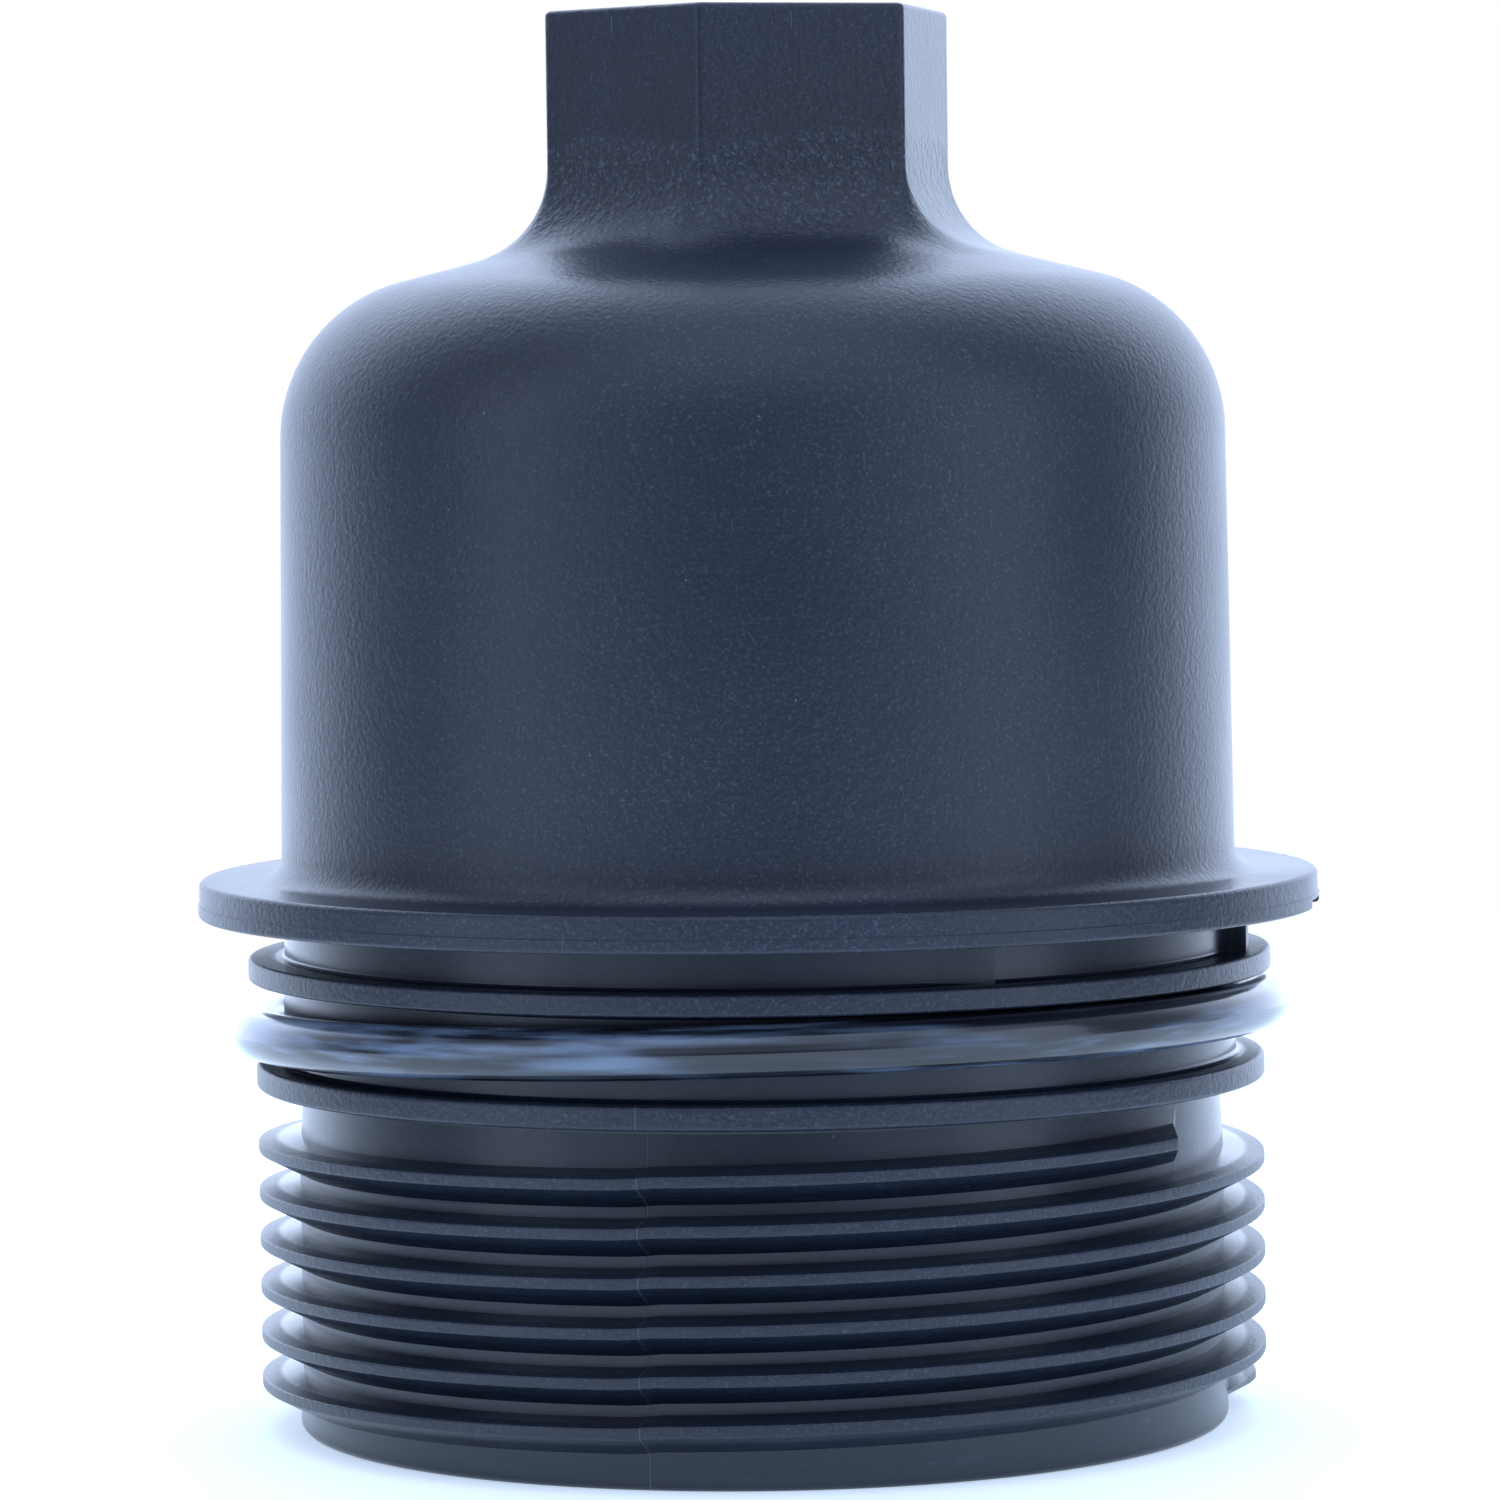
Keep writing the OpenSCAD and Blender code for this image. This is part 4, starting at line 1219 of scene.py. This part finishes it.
def glue_bed(node):
    """A ring of glue in an end plate, crowned towards the paper."""
    low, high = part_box(node)
    inner = RIM_R[1] + 0.05 * MM
    below = low.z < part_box("filter_medium")[0].z
    face, back = (high.z, low.z) if below else (low.z, high.z)
    dip = face + (back - face) * GLUE_DIP
    return lathe(soften([
        (inner, back, 0.1 * MM), (high.x, back, 0.1 * MM), (high.x, face, 0.2 * MM),
        (high.x - 1.6 * MM, dip, 1 * MM), (inner + 1.6 * MM, dip, 1 * MM),
        (inner, face, 0.2 * MM),
    ], closed=True), 160, closed=True)


def pleat_bead(node):
    """A bead of glue laid round the pleats' tips, broken where the seam strip runs."""
    low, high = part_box(node)
    half = (high.z - low.z) / 2
    middle = (low.z + high.z) / 2
    foot, side = BEAD_R
    edge = high.x - 0.1 * MM
    section = [
        (foot, -half * 0.9), (side, -half), (edge, -half * 0.55), (high.x, 0),
        (edge, half * 0.55), (side, half), (foot, half * 0.9)]
    return sector([(r, z + middle) for r, z in section], BEAD_TURN, BEAD_SWEEP, 288)


# ---------------------------------------------------------------- studio

CAMERA_AT = (0, -0.512, 0.07933)
CAMERA_TO = (-0.0005, 0, 0.05013)
CAMERA_ROLL = -0.0128
CAMERA_LENS = 164.9
ROOM_TINT = (0.84, 1.0, 1.33)
# The room's brightness from the front, 0, to the back, 1
ROOM_LEVELS = (
    (0.0, 0.22), (0.08, 0.76), (0.26, 0.74), (0.46, 0.28), (0.62, 0.42), (0.76, 1.15),
    (0.88, 2.15), (1.0, 2.4),
)
# How the room grows brighter overhead: from and to which height, and by how much
CEILING_RISE = (0.4, 0.95, 1.0, 1.75)
FLOOR_COLOUR = (0.86, 0.94, 0.97)
FLOOR_GLOW_COLOUR = (0.7, 0.83, 1.0)
# Place, width and height, and power in watts
SOFT_LIGHTS = {
    "left_soft_light": ((-0.95, -0.52, 0.32), (0.5, 0.9), 1.2),
    "right_soft_light": ((0.95, -0.52, 0.32), (0.5, 0.9), 1.6),
    "top_soft_light": ((0, -0.1, 1.1), (0.9, 0.9), 1.2),
}
FLOOR_GLOW = 0.58
FLOOR_FADE = (0.12, 0.4)
FLOOR_R = 4
LIGHT_AIM = (0, 0, 0.05)


def pale_floor():
    """A round floor under the object, lowered with the cartridge when that is drawn
    out of the cap; from below it lets the camera through."""
    bm = bmesh.new()
    bmesh.ops.create_circle(bm, cap_ends=True, radius=FLOOR_R, segments=96)
    floor = new_object("floor", bm)
    made, tree, shader, where = new_material("pale_floor")
    cloud = noise(tree, where, 3.0, 3.0)
    colour = mix_colour(tree, between(tree, cloud, 0.3, 0.7),
                        FLOOR_COLOUR, [c * 0.97 for c in FLOOR_COLOUR])
    tree.links.new(colour, shader.inputs["Base Color"])
    shader.inputs["Emission Color"].default_value = (*FLOOR_GLOW_COLOUR, 1)
    shader.inputs["Emission Strength"].default_value = FLOOR_GLOW
    shader.inputs["Roughness"].default_value = 1.0
    shader.inputs["Specular IOR Level"].default_value = 0.0
    reach = add(tree, "ShaderNodeVectorMath", {0: where}, operation="LENGTH").outputs["Value"]
    away = calc(tree, "MAXIMUM", between(tree, reach, *FLOOR_FADE),
                add(tree, "ShaderNodeNewGeometry").outputs["Backfacing"])
    seen = add(tree, "ShaderNodeMixShader", {
        0: away, 1: shader.outputs[0],
        2: add(tree, "ShaderNodeBsdfTransparent").outputs[0]})
    tree.links.new(seen.outputs[0], tree.nodes["Material Output"].inputs["Surface"])
    floor.data.materials.append(made)
    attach(floor, "cartridge")


def soft_light(name, place, size, power):
    """A soft box that faces the middle of the object."""
    light = bpy.data.lights.new(name, "AREA")
    light.shape = "RECTANGLE"
    light.size, light.size_y = size
    light.energy = power
    light.color = [c / max(ROOM_TINT) for c in ROOM_TINT]
    lamp = bpy.data.objects.new(name, light)
    lamp.location = place
    aim = Vector(LIGHT_AIM) - lamp.location
    lamp.rotation_euler = aim.to_track_quat("-Z", "Y").to_euler()
    bpy.context.scene.collection.objects.link(lamp)


def surroundings(scene):
    """A white room that is dimmer in front of the object, so that dark plastic shows
    its form, and plain white where it is seen directly."""
    world = bpy.data.worlds.new("white_room")
    world.use_nodes = True
    tree = world.node_tree
    sky = tree.nodes["Background"]
    way = add(tree, "ShaderNodeTexCoord").outputs["Generated"]
    _, back, up = add(tree, "ShaderNodeSeparateXYZ", {"Vector": way}).outputs
    ramp = add(tree, "ShaderNodeValToRGB", {0: calc(tree, "MULTIPLY_ADD", back, 0.5, 0.5)})
    stops = ramp.color_ramp.elements
    for index, (position, level) in enumerate(ROOM_LEVELS):
        stop = stops[index] if index < len(stops) else stops.new(position)
        stop.position = position
        stop.color = (*(level * c for c in ROOM_TINT), 1)
    straight = add(tree, "ShaderNodeLightPath").outputs["Is Camera Ray"]
    tree.links.new(mix_colour(tree, straight, ramp.outputs["Color"], (1, 1, 1)),
                   sky.inputs["Color"])
    tree.links.new(between(tree, up, *CEILING_RISE), sky.inputs["Strength"])
    scene.world = world


def camera(scene):
    """A long lens a little above the object's middle, rolled slightly."""
    data = bpy.data.cameras.new("camera")
    data.lens = CAMERA_LENS
    data.sensor_width = 36
    data.clip_start, data.clip_end = 0.01, 20
    made = bpy.data.objects.new("camera", data)
    scene.collection.objects.link(made)
    aim = (Vector(CAMERA_TO) - Vector(CAMERA_AT)).to_track_quat("-Z", "Y").to_matrix().to_4x4()
    made.matrix_world = Matrix.Translation(CAMERA_AT) @ aim @ Matrix.Rotation(
        CAMERA_ROLL, 4, "Z")
    scene.camera = made
    scene.view_settings.view_transform = "Standard"
    scene.view_settings.look = "None"


# ---------------------------------------------------------------- operators


class FILTERCAP_OT_cap(bpy.types.Operator):
    """Build the cap: barrel, flange, hex drive, seal groove, thread and mouth"""

    bl_idname = "filter_cap.cap"
    bl_label = "Cap"

    def execute(self, context):
        sizes, finishes = settings(context)
        bm = lathe(cap_outline(sizes), sizes.lathe_steps)
        shape_hex(bm, sizes)
        bmesh.ops.recalc_face_normals(bm, faces=bm.faces[:])
        piece = new_object("cap_body", bm)
        combine(piece, thread_ridge(sizes), "UNION")
        combine(piece, cap_details(), "UNION")
        combine(piece, flange_notch(), "DIFFERENCE")
        crease(piece)
        finish_piece(piece, cap_plastic(finishes, sizes.seam_turn), "cap",
                     "cap_plastic", "cap_shell")
        return {"FINISHED"}


class FILTERCAP_OT_ring(bpy.types.Operator):
    """Build the sealing ring, with its flash line, lying tilted in its groove"""

    bl_idname = "filter_cap.ring"
    bl_label = "Sealing ring"

    def execute(self, context):
        sizes, finishes = settings(context)
        low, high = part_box("cap_sealing_ring")
        cord = sizes.ring_cord / 2
        middle_r = (high.x - low.x) / 2 - cord
        section = []
        for i in range(RING_SIDES):
            turn = TURN * i / RING_SIDES
            ridge = math.exp(-(math.sin(turn) / FLASH_WIDTH) ** 2) * abs(math.cos(turn))
            reach = cord - RING_EASE + FLASH * ridge
            section.append((middle_r + reach * math.cos(turn), reach * math.sin(turn)))
        bm = lathe(section, sizes.lathe_steps, closed=True)
        tilt = Matrix.Rotation(math.radians(sizes.ring_lift_turn), 4, "Z") @ Matrix.Rotation(
            -math.asin(sizes.ring_lift / middle_r), 4, "Y")
        place = Matrix.Translation((0, 0, (low.z + high.z) / 2)) @ tilt
        bmesh.ops.transform(bm, matrix=place, verts=bm.verts[:])
        piece = new_object("sealing_ring", bm, math.radians(70))
        finish_piece(piece, rubber("seal_rubber", finishes, 0.36, 0.8), "cap", "seal_rubber",
                     "cap_sealing_ring")
        return {"FINISHED"}


class FILTERCAP_OT_cage(bpy.types.Operator):
    """Build the support cage: tube with windows, clip collar and spring seat"""

    bl_idname = "filter_cap.cage"
    bl_label = "Cage"

    def execute(self, context):
        _, finishes = settings(context)
        material = filled_plastic("cage_plastic", finishes.cage_colour, 0.42)
        builders = (("cage_body", cage_tube, "cage_tube"),
                    ("clip_collar_body", clip_collar, "clip_collar"),
                    ("spring_seat_body", spring_seat, "spring_seat"))
        for name, build, node in builders:
            finish_piece(build(name), material, "cage", "cage_plastic", node)
        return {"FINISHED"}


class FILTERCAP_OT_valve(bpy.types.Operator):
    """Build the bypass valve: plate with its stem, washer and spring"""

    bl_idname = "filter_cap.valve"
    bl_label = "Bypass valve"

    def execute(self, context):
        _, finishes = settings(context)
        low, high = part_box("valve_plate")
        seal_low, seal_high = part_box("valve_seal")
        under = seal_low.z - DISC_THICK
        plate = new_object("valve_plate_body", lathe(soften([
            (0, low.z, 0), (STEM_R, low.z, 0.5 * MM), (STEM_R, under, 0.6 * MM),
            (high.x, under, 0.25 * MM), (high.x, seal_low.z, 0.25 * MM),
            (2.95 * MM, seal_low.z, 0.1 * MM), (2.95 * MM, high.z, 0.2 * MM), (0, high.z, 0),
        ]), 96))
        finish_piece(plate, plated_steel("valve_steel", finishes.steel_colour, 90.0, 9000.0),
                     "valve", "valve_steel", "valve_plate")
        washer = new_object("valve_washer", lathe(soften([
            (3 * MM, seal_low.z, 0.15 * MM), (seal_high.x, seal_low.z, 0.2 * MM),
            (seal_high.x, seal_high.z, 0.3 * MM), (8.7 * MM, seal_high.z, 0.2 * MM),
            (8.3 * MM, seal_high.z - 0.1 * MM, 0.2 * MM),
            (6.6 * MM, seal_high.z - 0.1 * MM, 0.2 * MM), (6.2 * MM, seal_high.z, 0.2 * MM),
            (3 * MM, seal_high.z, 0.2 * MM),
        ], closed=True), 96, closed=True))
        finish_piece(washer, inner_rubber(finishes), "valve", "seal_rubber", "valve_seal")
        coil = new_object("valve_coil", spring_coil(), math.radians(60))
        finish_piece(coil, plated_steel("spring_steel", finishes.steel_colour, 500.0, 500.0),
                     "valve", "spring_steel", "valve_spring")
        low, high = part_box("valve_spring")
        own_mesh(coil)
        return {"FINISHED"}


class FILTERCAP_OT_end_plates(bpy.types.Operator):
    """Build the cartridge's two end plates and their seals"""

    bl_idname = "filter_cap.end_plates"
    bl_label = "End plates"

    def execute(self, context):
        _, finishes = settings(context)
        plastic = filled_plastic("plate_plastic", finishes.plate_colour, 0.38)
        for name, outline, node in (
                ("upper_plate_body", upper_plate_outline(), "upper_end_plate"),
                ("lower_plate_body", lower_plate_outline(), "lower_end_plate")):
            piece = new_object(name, lathe(outline, 160, closed=True))
            finish_piece(piece, plastic, "cartridge", "plate_plastic", node)
        rubber = inner_rubber(finishes)
        for name, outline, node in (
                ("upper_lip_seal", upper_seal_outline(), "upper_seal"),
                ("lower_lip_seal", lower_seal_outline(), "lower_seal")):
            piece = new_object(name, lathe(outline, 128, closed=True))
            finish_piece(piece, rubber, "cartridge", "seal_rubber", node)
        return {"FINISHED"}


class FILTERCAP_OT_medium(bpy.types.Operator):
    """Build the pleated paper, its seam strip, glue beds and pleat beads"""

    bl_idname = "filter_cap.medium"
    bl_label = "Filter medium"

    def execute(self, context):
        _, finishes = settings(context)
        paper = pleated_paper("pleated_paper")
        finish_piece(paper, filter_paper(finishes), "cartridge", "filter_paper",
                     "filter_medium")
        glue = set_glue(finishes)
        low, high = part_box("medium_seam")
        strip = new_object("seam_strip", block(low, high, 0, 0.2 * MM))
        finish_piece(strip, glue, "cartridge", "glue", "medium_seam")
        for name, node in (("upper_glue", "upper_glue_bed"), ("lower_glue", "lower_glue_bed")):
            bed = new_object(name, glue_bed(node))
            finish_piece(bed, glue, "cartridge", "glue", node)
        for node in ("upper_pleat_bead", "middle_pleat_bead", "lower_pleat_bead"):
            bead = new_object(node + "_glue", pleat_bead(node))
            finish_piece(bead, glue, "cartridge", "glue", node)
        return {"FINISHED"}


class FILTERCAP_OT_studio(bpy.types.Operator):
    """Set up the pale floor, the soft lights, the surroundings and the camera"""

    bl_idname = "filter_cap.studio"
    bl_label = "Studio"

    def execute(self, context):
        pale_floor()
        for name, light in SOFT_LIGHTS.items():
            soft_light(name, *light)
        surroundings(context.scene)
        camera(context.scene)
        return {"FINISHED"}


class FILTERCAP_PT_panel(bpy.types.Panel):
    """Buttons that build each piece, with the sizes and colours they use"""

    bl_idname = "FILTERCAP_PT_panel"
    bl_label = "Filter Cap"
    bl_space_type = "VIEW_3D"
    bl_region_type = "UI"
    bl_category = "Filter Cap"

    def draw(self, context):
        column = self.layout.column(align=True)
        for operator in OPERATORS:
            column.operator(operator.bl_idname)
        for group in settings(context):
            box = self.layout.box()
            for name in group.__annotations__:
                box.prop(group, name)


OPERATORS = (
    FILTERCAP_OT_cap,
    FILTERCAP_OT_ring,
    FILTERCAP_OT_cage,
    FILTERCAP_OT_valve,
    FILTERCAP_OT_end_plates,
    FILTERCAP_OT_medium,
    FILTERCAP_OT_studio,
)
CLASSES = (FilterCapSizes, FilterCapFinishes, *OPERATORS, FILTERCAP_PT_panel)


def register():
    for each in CLASSES:
        bpy.utils.register_class(each)
    bpy.types.Scene.filter_cap_sizes = PointerProperty(type=FilterCapSizes)
    bpy.types.Scene.filter_cap_finishes = PointerProperty(type=FilterCapFinishes)


def unregister():
    del bpy.types.Scene.filter_cap_finishes
    del bpy.types.Scene.filter_cap_sizes
    for each in reversed(CLASSES):
        bpy.utils.unregister_class(each)


def main():
    register()
    bpy.ops.filter_cap.cap()
    bpy.ops.filter_cap.ring()
    bpy.ops.filter_cap.cage()
    bpy.ops.filter_cap.valve()
    bpy.ops.filter_cap.end_plates()
    bpy.ops.filter_cap.medium()
    bpy.ops.filter_cap.studio()


if __name__ == "__main__":
    main()
